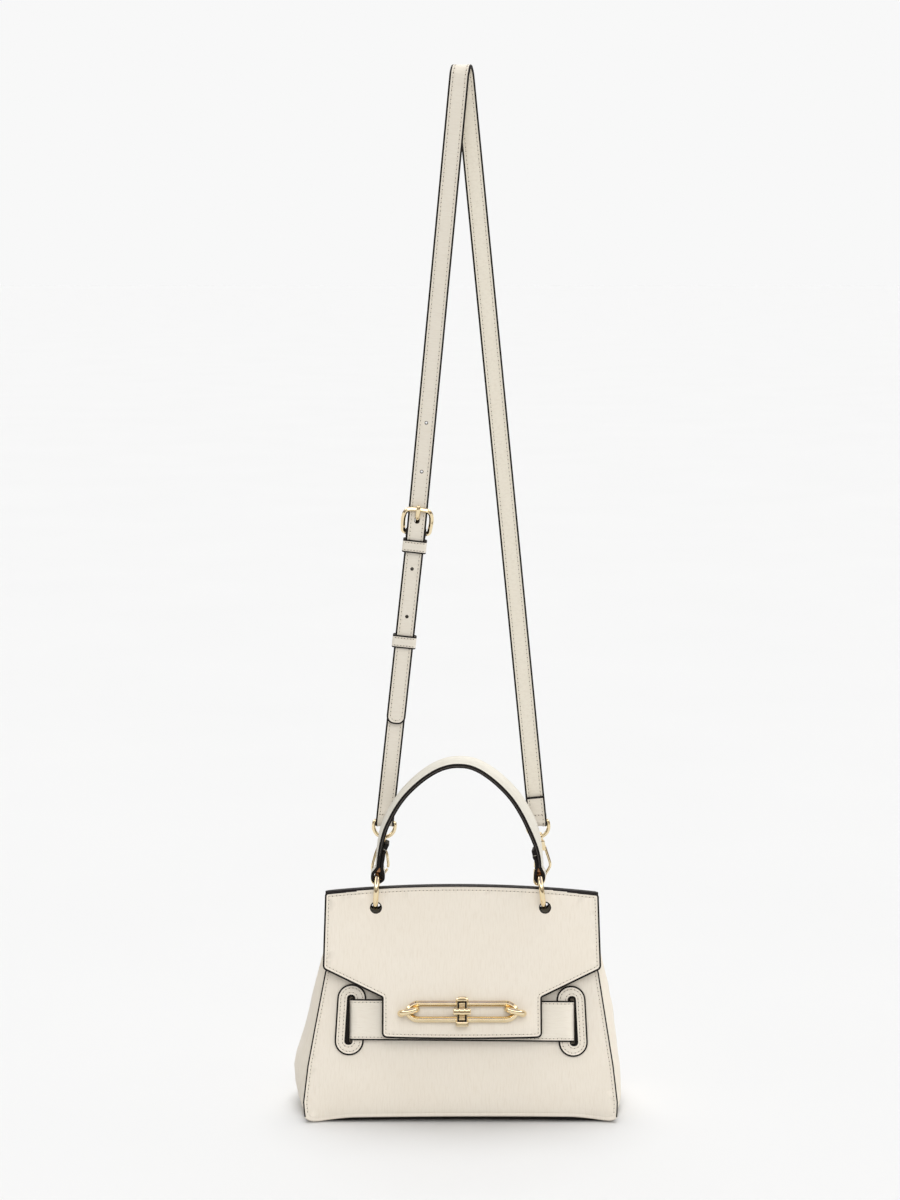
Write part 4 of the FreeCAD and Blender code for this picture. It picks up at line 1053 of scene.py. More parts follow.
rail, lift = 6.1, 2.3
corners = [(37.2, rail), (-37.2, rail), (-41.8, 2.2), (-41.8, -2.2), (-37.2, -rail), (37.2, -rail), (41.8, -2.2), (41.8, 2.2)]
path = round_path([(x, y, 0.0) for x, y in corners], [3.0, 3.0, 1.4, 1.4, 3.0, 3.0, 1.4, 1.4])
RIDGE = [(2.3, -0.5), (2.4, -0.34), (2.45, 0.0), (2.4, 0.34), (2.3, 0.5), (2.2, 0.6), (1.1, 1.84), (1.0, 1.94), (0.8, 2.1), (0.4, 2.3), (-0.3, 2.36), (-1.3, 2.1),
         (-1.8, 1.5), (-1.95, 0.0), (-1.8, -1.5), (-1.3, -2.1), (-0.3, -2.36), (0.4, -2.3), (0.8, -2.1), (1.0, -1.94), (1.1, -1.84), (2.2, -0.6)]
frames, run = [], 0.0
for i, q in enumerate(path):
    t = unit(path[(i + 1) % len(path)] - path[i - 1])
    run += float(np.linalg.norm(q - path[i - 1]))
    frames.append((lock(q[0], lift, q[1]), FL_N, X * t[1] + FL_T * t[0], run))
sh = Shape()
sweep(sh, frames, lambda i: [(a, b, 0) for a, b in RIDGE], closed_path=True)
make("oval_link_wire", sh, [GOLD], "flap", ["oval_link"])
for side, word in ((-1, "left"), (1, "right")):
    tilt = 1.6
    span = 6.3
    pts = [lock(side * 41.4 - span, 0.2, side * tilt)]
    for k in range(25):
        a = math.radians(180 - 180 * k / 24)
        pts.append(lock(side * 41.4 + span * math.cos(a), 1.4 + 6.3 * math.sin(a), -side * tilt * math.cos(a)))
    pts.append(lock(side * 41.4 + span, 0.2, -side * tilt))
    sh = Shape()
    n = len(pts)
    # the outer foot is the heavy one
    tube(sh, pts, 1.9, sides=22, radius=lambda i: 2.2 + 0.8 * (i / (n - 1) if side > 0 else 1 - i / (n - 1)) ** 2)
    make(word + "_link_staple_hoop", sh, [GOLD], "flap", [word + "_link_staple"])

# turn-lock plate: bridge frame, round cap above, square cap below, enamel round the slot
sh = Shape()
plate(sh, oval(0, 0, 4.3, 9.8, 0.8), lambda u, v, h: lock(u, 6.0 + h, v), 2.2, 0.5, holes=[oval(0, 0, 2.75, 7.4, 0.6)])
plate(sh, [(-5.0, 7.7, 0.7), (5.0, 7.7, 0.7), (5.0, 11.6, 3.4), (-5.0, 11.6, 3.4)], lambda u, v, h: lock(u, 7.0 + h, v), 6.9, 1.1, step=0.6, grid=1.2)
plate(sh, oval(0, -9.6, 5.0, 1.9, 0.9), lambda u, v, h: lock(u, 7.0 + h, v), 6.9, 0.9, grid=1.2)
for s in (-1, 1):
    plate(sh, oval(0, s * 5.1, 2.9, 2.4, 0.3), lambda u, v, h: lock(u, 4.6 + h, v), 1.0, 0.2, k=1, step=0.8)
make("lock_plate_frame", sh, [GOLD, GOLD_DARK], "flap", ["lock_plate"])
sh = Shape()
plate(sh, oval(0, 0, 3.6, 8.2, 0.7), lambda u, v, h: lock(u, 6.45 + h, v), 0.9, 0.2, holes=[oval(0, 0, 2.35, 6.9, 0.4)], step=0.6)
make("lock_slot_enamel", sh, [PAINT], "flap")

# turning bar with raised ends and a waist rib
sh = Shape()
frames = []
xs = [-6.8, -6.6, -6.1, -5.4, -5.2, -4.9, -2.0, -1.8, -1.5, 0.0, 1.5, 1.8, 2.0, 4.9, 5.2, 5.4, 6.1, 6.6, 6.8]
rad = [0.45, 0.8, 1.0, 1.0, 0.98, 0.88, 0.88, 0.98, 1.0, 1.0, 1.0, 0.98, 0.88, 0.88, 0.98, 1.0, 1.0, 0.8, 0.45]
for x in xs:
    frames.append((lock(x, 9.0, 0.0), FL_N, -FL_T, x))


def toggle_section(i):
    out = []
    for q in range(28):
        a = 2 * math.pi * q / 28
        c, s = math.cos(a), math.sin(a)
        e = 0.72
        out.append((2.1 * rad[i] * math.copysign(abs(c) ** e, c), 2.75 * rad[i] * math.copysign(abs(s) ** e, s), 0))
    return out


sweep(sh, frames, toggle_section)
lathe(sh, lock(0, -2.4, 0), FL_N, [(0.0, 1.5), (10.0, 1.5)], sides=20)
make("lock_turn_bar", sh, [GOLD], "lock_toggle", ["lock_toggle"])

# ------------------------------------------------------------------------ rings
for side, word in ((-1, "left"), (1, "right")):
    sh = Shape()
    lean = math.radians(3.5 if side < 0 else 7.5)
    mid = 67.6 if side < 0 else 63.2
    tube(sh, [(side * (mid - 13.5 * math.sin(2 * math.pi * k / 72) * math.sin(lean)), 13.5 * math.cos(2 * math.pi * k / 72),
               174.0 + 13.5 * math.sin(2 * math.pi * k / 72) * math.cos(lean)) for k in range(72)], 2.0, closed=True, sides=22)
    make(word + "_ring_wire", sh, [GOLD], word + "_ring", [word + "_ring"])


# ----------------------------------------------------------------------- handle
def spline(points, per):
    """A smooth line through points (centripetal enough for evenly spaced ones)."""
    p = [np.array(q, float) for q in points]
    p = [2 * p[0] - p[1]] + p + [2 * p[-1] - p[-2]]
    out = []
    for i in range(1, len(p) - 2):
        for k in range(per):
            t = k / per
            a, b, c, d = p[i - 1], p[i], p[i + 1], p[i + 2]
            out.append(0.5 * (2 * b + (c - a) * t + (2 * a - 5 * b + 4 * c - d) * t * t + (3 * b - a - 3 * c + d) * t ** 3))
    out.append(p[-2])
    return np.array(out)


INNER = [(64.6, 193.5), (64.5, 199.0), (63.9, 204.5), (60.3, 219.0), (52.6, 234.2), (43.6, 246.8), (34.6, 256.0), (22.8, 265.6), (11.0, 272.6), (0.0, 275.2)]
inner = INNER + [(-x, z) for x, z in reversed(INNER[:-1])]
line = spline(inner, 8)
line, hs = smooth_line(line, 1.6)
# relaxed a little, so that the arch has no corners
for _ in range(10):
    line[1:-1] = 0.5 * line[1:-1] + 0.25 * (line[:-2] + line[2:])
_, hs = resample(line, False)
h_total = hs[-1]
frames = []


def turned(x, z):
    """The handle is turned a little about the upright, most in its right leg."""
    a = math.radians(0.5 - 13.0 * smooth(-62, 44, x) + (7.5 * (1 - smooth(198, 224, z)) if x > 0 else 0.0))
    return np.array(((math.cos(a), -math.sin(a), 0), (math.sin(a), math.cos(a), 0), (0, 0, 1)))


def leg_in(x, z):
    """How far the handle's legs stray from the even arch, on their leaning rings."""
    if x < 0:
        return float(np.interp(z, [184, 190, 194, 200, 207, 214, 220, 226, 232, 239, 246, 252, 258, 264.5, 271, 275],
                               [-0.45, -0.3, 0.1, 0.4, 0.5, 0.3, 0.0, -0.9, -1.2, -2.0, -2.8, -3.5, -4.0, -4.4, -4.2, -3.0]))
    return float(np.interp(z, [184, 196, 208, 218, 228, 238, 250, 262, 274], [-4.2, -4.4, -5.0, -5.4, -5.0, -4.1, -2.5, -1.0, 0.0]))


line = np.array([(x + leg_in(x, z), z) for x, z in line])
for _ in range(6):
    line[1:-1] = 0.5 * line[1:-1] + 0.25 * (line[:-2] + line[2:])
for i, (x, z) in enumerate(line):
    a, b = line[max(i - 1, 0)], line[min(i + 1, len(line) - 1)]
    t = unit(b - a)
    nn = np.array((t[1], 0.0, -t[0]))
    frames.append((np.array((x, 0.0, z)), turned(x, z) @ nn, turned(x, z) @ np.array((0.0, 1.0, 0.0)), hs[i]))


def handle_section(i):
    d = min(hs[i], h_total - hs[i])
    w = 6.0 + 2.5 * smooth(8, 34, d)
    th = 3.0 + 0.4 * smooth(0, 30, d)        # the two painted layers
    crown = 1.3 + 3.0 * smooth(2, 40, d)     # stuffing under the outer leather
    if hs[i] > h_total / 2:
        crown *= 0.64 + 0.36 * smooth(40, 110, d)
    lo = 0.0
    m1 = th * 0.47
    left = [(lo + 0.0, -(w - 1.2), 1), (lo + 0.12, -(w - 0.5), 1), (lo + 0.6, -(w - 0.08), 1), (m1 - 0.3, -w, 1), (m1 - 0.12, -(w - 0.12), 3),
            (m1 + 0.12, -(w - 0.12), 1), (m1 + 0.3, -w, 1), (th - 0.5, -(w - 0.04), 1), (th - 0.05, -(w - 0.35), 1), (th + 0.12, -(w - 0.85), 0)]
    n = 16
    dome = []
    for k in range(1, n):
        a = -1 + 2 * k / n
        dome.append((th + 0.12 + crown * (1 - abs(a) ** 2.3) ** 0.8, a * (w - 0.85), 0))
    right = [(a, -b, k) for a, b, k in reversed(left)]
    right = [(right[0][0], right[0][1], 1)] + [(a, b, k) for a, b, k in right[1:]]
    # materials belong to the stretch after a point
    right = [(a, b, 1) for a, b, k in right]
    right[4] = (right[4][0], right[4][1], 3)
    right[-1] = (right[-1][0], right[-1][1], 2)
    return left + dome + right


sh = Shape()
sweep(sh, frames, handle_section, k_cap=1)
handle = make("handle_leather", sh, [LEATHER_SMOOTH, PAINT, REVERSE, PAINT_LIGHT], "handle", ["handle"])

for side, word in ((-1, "left"), (1, "right")):
    # one tongue of leather: down the inside, round the ring, up the outside
    top_at = 207.0 if side < 0 else 203.4
    wide, stand = (1.0, 0.5) if side < 0 else (0.0, 0.0)
    pts = [(61.9 - stand, top_at), (62.5 - stand, top_at - 2.4), (63.1 - stand, 200.6), (63.45 - stand, 198.0), (63.7 - stand, 195.0), (63.5 - stand, 192.4),
           (62.95 - wide, 189.4), (62.7 - wide, 186.8)]
    for k in range(1, 14):
        a = math.radians(180 + 180 * k / 14)
        pts.append((66 + (3.3 + wide) * math.cos(a), 185.2 + 3.3 * math.sin(a)))
    pts += [(69.3 + wide, 186.8), (69.0 + wide, 188.8), (67.6 + 0.5 * wide, 191.4), (66.4, 194.2), (66.0, 197.5), (65.9, 203.0), (65.6, 207.0)]
    path = spline([(side * x + leg_in(side, z), z) for x, z in pts], 4)
    path, ps = smooth_line(path, 0.7)
    plen = ps[-1]

    def loop_put(u, s, h, path=path, ps=ps, plen=plen, side=side):
        x = min(max(s, 0.0), plen)
        a = np.array([np.interp(x, ps, path[:, c]) for c in (0, 1)])
        b0 = np.array([np.interp(max(x - 0.6, 0), ps, path[:, c]) for c in (0, 1)])
        b1 = np.array([np.interp(min(x + 0.6, plen), ps, path[:, c]) for c in (0, 1)])
        t = unit(b1 - b0)
        nrm = side * np.array((t[1], -t[0]))
        q = a + nrm * h
        return np.array((q[0], 0.0, q[1])) + turned(side * 66, q[1]) @ np.array((0.0, u, 0.0))

    sh = Shape()
    bw = 6.0
    panel(sh, [(-bw, 0.0, 1.5), (bw, 0.0, 1.5), (bw, plen, 1.0), (-bw, plen, 1.0)], lambda u, s, h: loop_put(u, s, h + 1.15),
          rim(2.3, lap=1.0, stitch=0, bead=0.05), grid=2.2, step=0.8)
    # raw core where the two runs of the tongue meet above the ring
    core = [(64.1, 189.9, 0.4), (67.4, 189.7, 0.4), (65.8, 193.8, 0.3), (64.7, 194.0, 0.3)]
    plate(sh, [(side * x + leg_in(side, z), z, r) for x, z, r in core],
          lambda u, v, h: np.array((side * 65.5, 0.0, 0.0)) + turned(side * 66, 190.0) @ np.array((u - side * 65.5, 4.6 - h - 9.2, 0.0)) + np.array((0.0, 0.0, v)), 9.2, 0.3, k=2, step=0.8)
    # black plates between the two runs of the tongue: painted shade for the dark gap between them
    fill = [[(62.9, 193.6, 0.3), (66.2, 193.6, 0.3), (66.0, 206.0, 0.3), (62.4, 206.0, 0.3)]]
    if side < 0:
        fill.append([(62.4, 184.2, 0.3), (64.5, 184.2, 0.3), (64.7, 190.6, 0.3), (62.6, 190.6, 0.3)])
    for corners in fill:
        plate(sh, [(side * x + leg_in(side, z), z, r) for x, z, r in corners],
              lambda u, v, h: np.array((side * 65.5, 0.0, 0.0)) + turned(side * 66, v) @ np.array((u - side * 65.5, -4.2 - h, 0.0)) + np.array((0.0, 0.0, v)), 8.4, 0.3, k=1, step=0.8)
    # the tongue's end is capped by a small folded tab that stands off the leg
    foot_at, head_at = (np.array((60.3, 207.8)), np.array((57.9, 212.8))) if side < 0 else (np.array((61.5, 203.2)), np.array((60.9, 207.8)))
    run_dir = unit(head_at - foot_at)
    off = np.array((-run_dir[1], run_dir[0]))
    long = float(np.linalg.norm(head_at - foot_at))

    def tab_put(u, v, h):
        q = foot_at + run_dir * v + off * (h + 0.4)
        return np.array((side * q[0] + leg_in(side, q[1]), 0.0, q[1])) + turned(side * 66, q[1]) @ np.array((0.0, u, 0.0))

    tab = Shape()
    panel(tab, [(-6.3, 0.0, 0.6), (6.3, 0.0, 0.6), (6.3, long, 1.2), (-6.3, long, 1.2)], tab_put, rim(3.2, lap=0.7, stitch=0, bead=0.0, b=0.3), grid=2.2, step=0.8)
    for n, ids in enumerate(tab.f):
        mx, my, mz = np.mean([tab.v[i] for i in ids], axis=0)
        along = float((np.array((side * (mx - leg_in(side, mz)), mz)) - foot_at) @ run_dir)
        if tab.k[n] != 1:
            tab.k[n] = 1
        elif along < 0.45:
            tab.k[n] = 0
    make(word + "_tongue_tab", tab, [REVERSE, PAINT], "handle")
    make(word + "_handle_tongue", sh, [LEATHER_SMOOTH, PAINT, RAW], "handle", [word + "_handle_end"])


# ------------------------------------------------------------------------ strap
def strap_maker(points, step=2.0):
    """points: (x, y, z) along the middle of a flat strap -> a function of (across, along, height)."""
    p = np.asarray(points, float)
    seg = np.linalg.norm(np.diff(p, axis=0), axis=1)
    s = np.concatenate([[0], np.cumsum(seg)])
    q = np.linspace(0, s[-1], int(s[-1] / 0.5) + 1)
    d = np.array([[np.interp(x, s, p[:, c]) for c in range(3)] for x in q])
    tang = np.gradient(d, axis=0)
    tang /= np.linalg.norm(tang, axis=1)[:, None]
    across = np.zeros_like(d)
    for i, t in enumerate(tang):
        a = np.array((1.0, 0.0, 0.0)) - t * t[0]
        across[i] = unit(a)
    # the lean changes slowly, so the strap twists without a kink
    for _ in range(40):
        across[1:-1] = 0.5 * across[1:-1] + 0.25 * (across[:-2] + across[2:])
    across /= np.linalg.norm(across, axis=1)[:, None]
    norm = np.cross(across, tang)
    norm /= np.linalg.norm(norm, axis=1)[:, None]

    def put(u, x, h):
        f = min(max(x / q[-1] * (len(q) - 1), 0.0), len(q) - 1.0)
        i = min(int(f), len(q) - 2)
        w = f - i
        c = d[i] * (1 - w) + d[i + 1] * w
        a = across[i] * (1 - w) + across[i + 1] * w
        n = norm[i] * (1 - w) + norm[i + 1] * w
        return c + a * u + n * h

    def along_at(z, first=True):
        k = np.where(np.diff(np.sign(d[:, 2] - z)) != 0)[0]
        return q[k[0] if first else k[-1]]

    return put, q[-1], along_at


def blur(points, rounds):
    p = np.array(points, float)
    for _ in range(rounds):
        p[1:-1] = 0.5 * p[1:-1] + 0.25 * (p[:-2] + p[2:])
    return p


HEEL = 457.5


def short_x(z):
    return -61.3 + 0.1095 * (z - 226.0)


def front_x(z):
    return short_x(HEEL) + (-2.4 - short_x(HEEL)) * (z - HEEL) / (805.5 - HEEL)


fz = np.arange(306.0, 805.6, 1.5)
fy = np.interp(fz, [306, 425, HEEL, 472.5, 482.5, 805.5], [11.3, 11.2, 9.0, 10.9, 11.1, 6.5])
fx = np.where(fz > HEEL, front_x(fz), short_x(fz))
front_pts = np.stack([fx, fy, fz], 1)
front_pts = blur(front_pts, 30)
fold_pts = []
for k in range(1, 24):
    a = math.radians(180 - 180 * k / 24)
    fold_pts.append((-2.4 + 4.0 * k / 24, 13.0 + 6.5 * math.cos(a), 805.5 + 6.5 * math.sin(a)))
rz = np.arange(805.5, 233.9, -1.5)
rear_pts = [(60.1 + (1.6 - 60.1) * (z - 226) / 579.5, 14.5 + 5.0 * (z - 226) / 579.5 + 2.75 * (1 - smooth(232, 243, z)), z) for z in rz]
bar_x = 60.1
turn_pts = [(bar_x, 17.25, 229.0)]
for k in range(0, 17):
    a = math.radians(-180 * k / 16)
    turn_pts.append((bar_x, 14.5 + 2.75 * math.cos(a), 226.0 + 2.75 * math.sin(a)))
tail_pts = [(60.1 + (1.6 - 60.1) * (z - 226) / 579.5, 11.95 + 0.05 * (z - 226) / 21 - 0.15, z) for z in np.arange(229.0, 247.6, 1.5)]
long_line = np.vstack([front_pts, fold_pts, rear_pts, turn_pts, tail_pts])
long_put, long_len, long_at = strap_maker(long_line)

holes = []
for z in (430.0, 392.0, 506.0, 544.0):
    holes.append(circle(0.0, long_at(z), 0.9, 12))
holes.append(oval(0.0, long_at(HEEL + 10.6), 1.5, 2.3, 1.4))
W2 = 7.5
long_base = [(-W2, 0.0, 6.2), (W2, 0.0, 6.2), (W2, long_len, 1.2), (-W2, long_len, 1.2)]
sh = Shape()
panel(sh, long_base, lambda u, s, h: long_put(u, s, h + 1.2), rim(2.4, lap=1.4, stitch=2.9, groove=0.14, back_stitch=True), holes=holes,
      hole_prof=[(0.5, 0.0, 1), (0.15, -0.1, 1), (0.0, -0.4, 1), (0.0, -2.0, 1), (0.15, -2.3, 1), (0.5, -2.4, 2)], grid=3.4, step=2.2, hole_step=0.5,
      turn=lambda u, s: (s, u))
make("long_strap_leather", sh, [LEATHER_LONG, PAINT, REVERSE], "strap", ["strap_front_run", "strap_tail", "strap_top_fold", "strap_rear_run", "strap_rear_end"])
sh = Shape()
tip = [(-W2 + 2.9, long_len - 3.0)] + [(-W2 + 2.9, s) for s in np.linspace(long_len - 40, 7.0, 300)]
tip += [(4.6 * math.cos(math.radians(180 + 180 * k / 12)), 7.5 + 4.6 * math.sin(math.radians(180 + 180 * k / 12))) for k in range(1, 12)]
tip += [(W2 - 2.9, s) for s in np.linspace(7.0, long_len - 40, 300)] + [(W2 - 2.9, long_len - 3.0)]
for face in (1, -1):
    sew(sh, tip, (lambda u, s, h: long_put(u, s, h + 1.2)) if face > 0 else (lambda u, s, h: long_put(u, s, -h - 1.2)), closed=False, h=-0.14, pitch=3.2,
        length=2.1)
cross = long_len - 15.0
sew(sh, [(-W2 + 3.6, cross), (W2 - 3.6, cross)], lambda u, s, h: long_put(u, s, h + 1.2), closed=False, h=0.0, pitch=2.6, length=1.9)
make("long_strap_stitching", sh, [THREAD, PIT], "strap")

# short strap: both ends turned back behind, round the eye's bar and the buckle's heel bar
low = [(short_x(z), 17.05 + 0.2 * (1 - (z - 229) / 18.0), z) for z in np.arange(247.0, 228.9, -1.5)]
arc_low = [(short_x(226.0), 14.5 + 2.75 * math.cos(math.radians(-180 * k / 16)), 226.0 + 2.75 * math.sin(math.radians(-180 * k / 16))) for k in range(17)]
up = []
for z in np.arange(229.0, HEEL - 2.9, 1.5):
    y = 14.5 - 2.75 * (1 - smooth(230, 242, z)) - 2.75 * smooth(HEEL - 15, HEEL - 4, z)
    up.append((short_x(z), y, z))
arc_high = [(short_x(HEEL), 14.5 + 2.75 * math.cos(math.radians(180 - 180 * k / 16)), HEEL + 2.75 * math.sin(math.radians(180 - 180 * k / 16))) for k in range(17)]
high = [(short_x(z), 17.2 - 0.2 * smooth(HEEL - 5, HEEL - 20, z), z) for z in np.arange(HEEL - 2.0, HEEL - 27.5, -1.5)]
short_line = np.vstack([low, arc_low, up, arc_high, high])
short_flat, short_len, short_at = strap_maker(short_line)
S2 = 7.2
top_at = short_len - 27.0 - 2.75 * math.pi / 2


def short_put(u, s, h):
    # the leather spreads where it is bent hard round the buckle's bar
    return short_flat(u * (1 + 0.13 * math.exp(-((s - top_at) / 9.0) ** 2)), s, h)


short_base = [(-S2, 0.0, 1.2), (S2, 0.0, 1.2), (S2, short_len, 1.2), (-S2, short_len, 1.2)]
notch = oval(0.0, top_at, 2.3, 7.5, 2.2)
sh = Shape()
panel(sh, short_base, lambda u, s, h: short_put(u, s, h + 1.15), rim(2.3, lap=1.4, stitch=2.9, groove=0.14, back_stitch=True), holes=[notch],
      hole_prof=[(0.6, 0.0, 1), (0.2, -0.1, 1), (0.0, -0.5, 1), (0.0, -1.8, 1), (0.2, -2.2, 1), (0.6, -2.3, 2)], grid=3.4, step=1.6, hole_step=0.8,
      turn=lambda u, s: (s, u))
make("short_strap_leather", sh, [LEATHER_LONG, PAINT, REVERSE], "strap", ["short_strap"])
sh = Shape()
for u in (-S2 + 2.9, S2 - 2.9):
    for face in (1, -1):
        sew(sh, [(u, 38.0), (u, short_len - 60)], (lambda a, s, h: short_put(a, s, h + 1.15)) if face > 0 else (lambda a, s, h: short_put(a, s, -h - 1.15)),
            closed=False, h=-0.14, pitch=3.2, length=2.1)
c_at = 32.0
sew(sh, [(-S2 + 2.8, c_at + 4), (S2 - 2.8, c_at + 4)], lambda a, s, h: short_put(a, s, h + 1.15), closed=False, h=0.0, pitch=2.4, length=1.8)
make("short_strap_stitching", sh, [THREAD, PIT], "strap")

# ------------------------------------------------------------- buckle and keepers
ST_A = np.array((0.994058, 0.0, -0.108849))
ST_U = np.array((0.108849, 0.0, 0.994058))
ST_O = np.array((short_x(HEEL), 14.5, HEEL))
Y = np.array((0.0, 1.0, 0.0))


def strand(a, y, u):
    return ST_O + ST_A * a + Y * y + ST_U * u


sh = Shape()
path = round_path([strand(-10.2, 0, 0), strand(10.2, 0, 0), strand(11.0, -3.6, 10.0), strand(10.1, -6.7, 19.2), strand(-10.1, -6.7, 19.2), strand(-11.0, -3.6, 10.0)],
                  [2.6, 2.6, 3.0, 6.4, 6.4, 3.0])
face = unit(np.cross(ST_A, strand(0, -6.7, 19.2) - strand(0, 0, 0)))
frames, run = [], 0.0
for i, q in enumerate(path):
    t = unit(path[(i + 1) % len(path)] - path[i - 1])
    run += float(np.linalg.norm(q - path[i - 1]))
    n0 = unit(face - t * float(np.dot(face, t)))
    frames.append((q, n0, np.cross(t, n0), run))
sweep(sh, frames, lambda i: [(a * 0.76, b * 0.76, 0) for a, b in RIDGE], closed_path=True)
make("buckle_frame_wire", sh, [GOLD], "strap", ["buckle_frame"])
sh = Shape()
bent = spline([(-0.6, 2.2), (-1.6, 6.0), (-3.4, 9.6), (-6.6, 12.8), (-9.2, 16.4), (-10.1, 19.2), (-10.0, 21.2)], 5)
pts = [strand(0, y, u) for y, u in bent]
tube(sh, pts, 1.3, sides=16, radius=lambda i: 1.15 + 0.25 * smooth(5, 9, i) + 0.35 * smooth(12, 17, i) - 0.2 * smooth(24, 30, i))
sec = [(-0.5, -1.75, 0), (0.3, -1.75, 0), (0.5, -1.5, 0), (0.5, 1.5, 0), (0.3, 1.75, 0), (-0.5, 1.75, 0)]
frames = []
for k in range(28):
    a = 2 * math.pi * k / 28
    frames.append((strand(0, 2.05 * math.cos(a), 2.05 * math.sin(a)), Y * math.cos(a) + ST_U * math.sin(a), ST_A, k * 0.46))
sweep(sh, frames, lambda i: sec, closed_path=True)
make("buckle_prong_pin", sh, [GOLD], "buckle_prong", ["buckle_prong"])


def keeper(name, z, front_y, back_y, body, node_name):
    at = (z - HEEL) / 0.994058
    half = 8.05 + 0.65
    f, b = front_y - 14.5 - 0.65, back_y - 14.5 + 0.65
    loop = round_path([(-half, f, 0), (half, f, 0), (half, b, 0), (-half, b, 0)], [1.6] * 4, 6)
    frames = []
    n = len(loop)
    run = 0.0
    for i in range(n):
        t = unit(loop[(i + 1) % n] - loop[i - 1])
        nn = np.array((t[1], -t[0], 0.0))
        run += float(np.linalg.norm(loop[i] - loop[i - 1]))
        world = lambda v: ST_A * v[0] + Y * v[1]
        frames.append((strand(loop[i][0], loop[i][1], at), world(nn), ST_U, run))
    t = 0.65
    sec = [(t - 0.0, -3.9, 0), (t + 0.03, 0.0, 0), (t, 3.9, 1), (t + 0.06, 4.3, 1), (t - 0.15, 4.85, 1), (0.2, 5.05, 1), (-0.2, 5.05, 1), (-t + 0.1, 4.8, 1),
           (-t, 4.2, 2), (-t, -4.2, 1), (-t + 0.1, -4.8, 1), (-0.2, -5.05, 1), (0.2, -5.05, 1), (t - 0.15, -4.85, 1), (t + 0.06, -4.3, 1)]
    sh = Shape()
    sweep(sh, frames, lambda i: sec, closed_path=True)
    for u in (-3.0, 3.0):
        sew(sh, [(-half + 1.6, u), (half - 1.6, u)], lambda a, b, h: strand(a, f - t - h, at + b), closed=False, pitch=2.5, length=1.7, h=0.0, sink=0.05, k=3, kp=4)
    return make(name, sh, [LEATHER_LONG, PAINT, REVERSE, THREAD, PIT], body, [node_name])


keeper("upper_keeper_leather", 447.5, 7.7, 18.3, "strap", "upper_keeper")
keeper("lower_keeper_leather", 372.0, 9.6, 16.2, "lower_keeper", "lower_keeper")

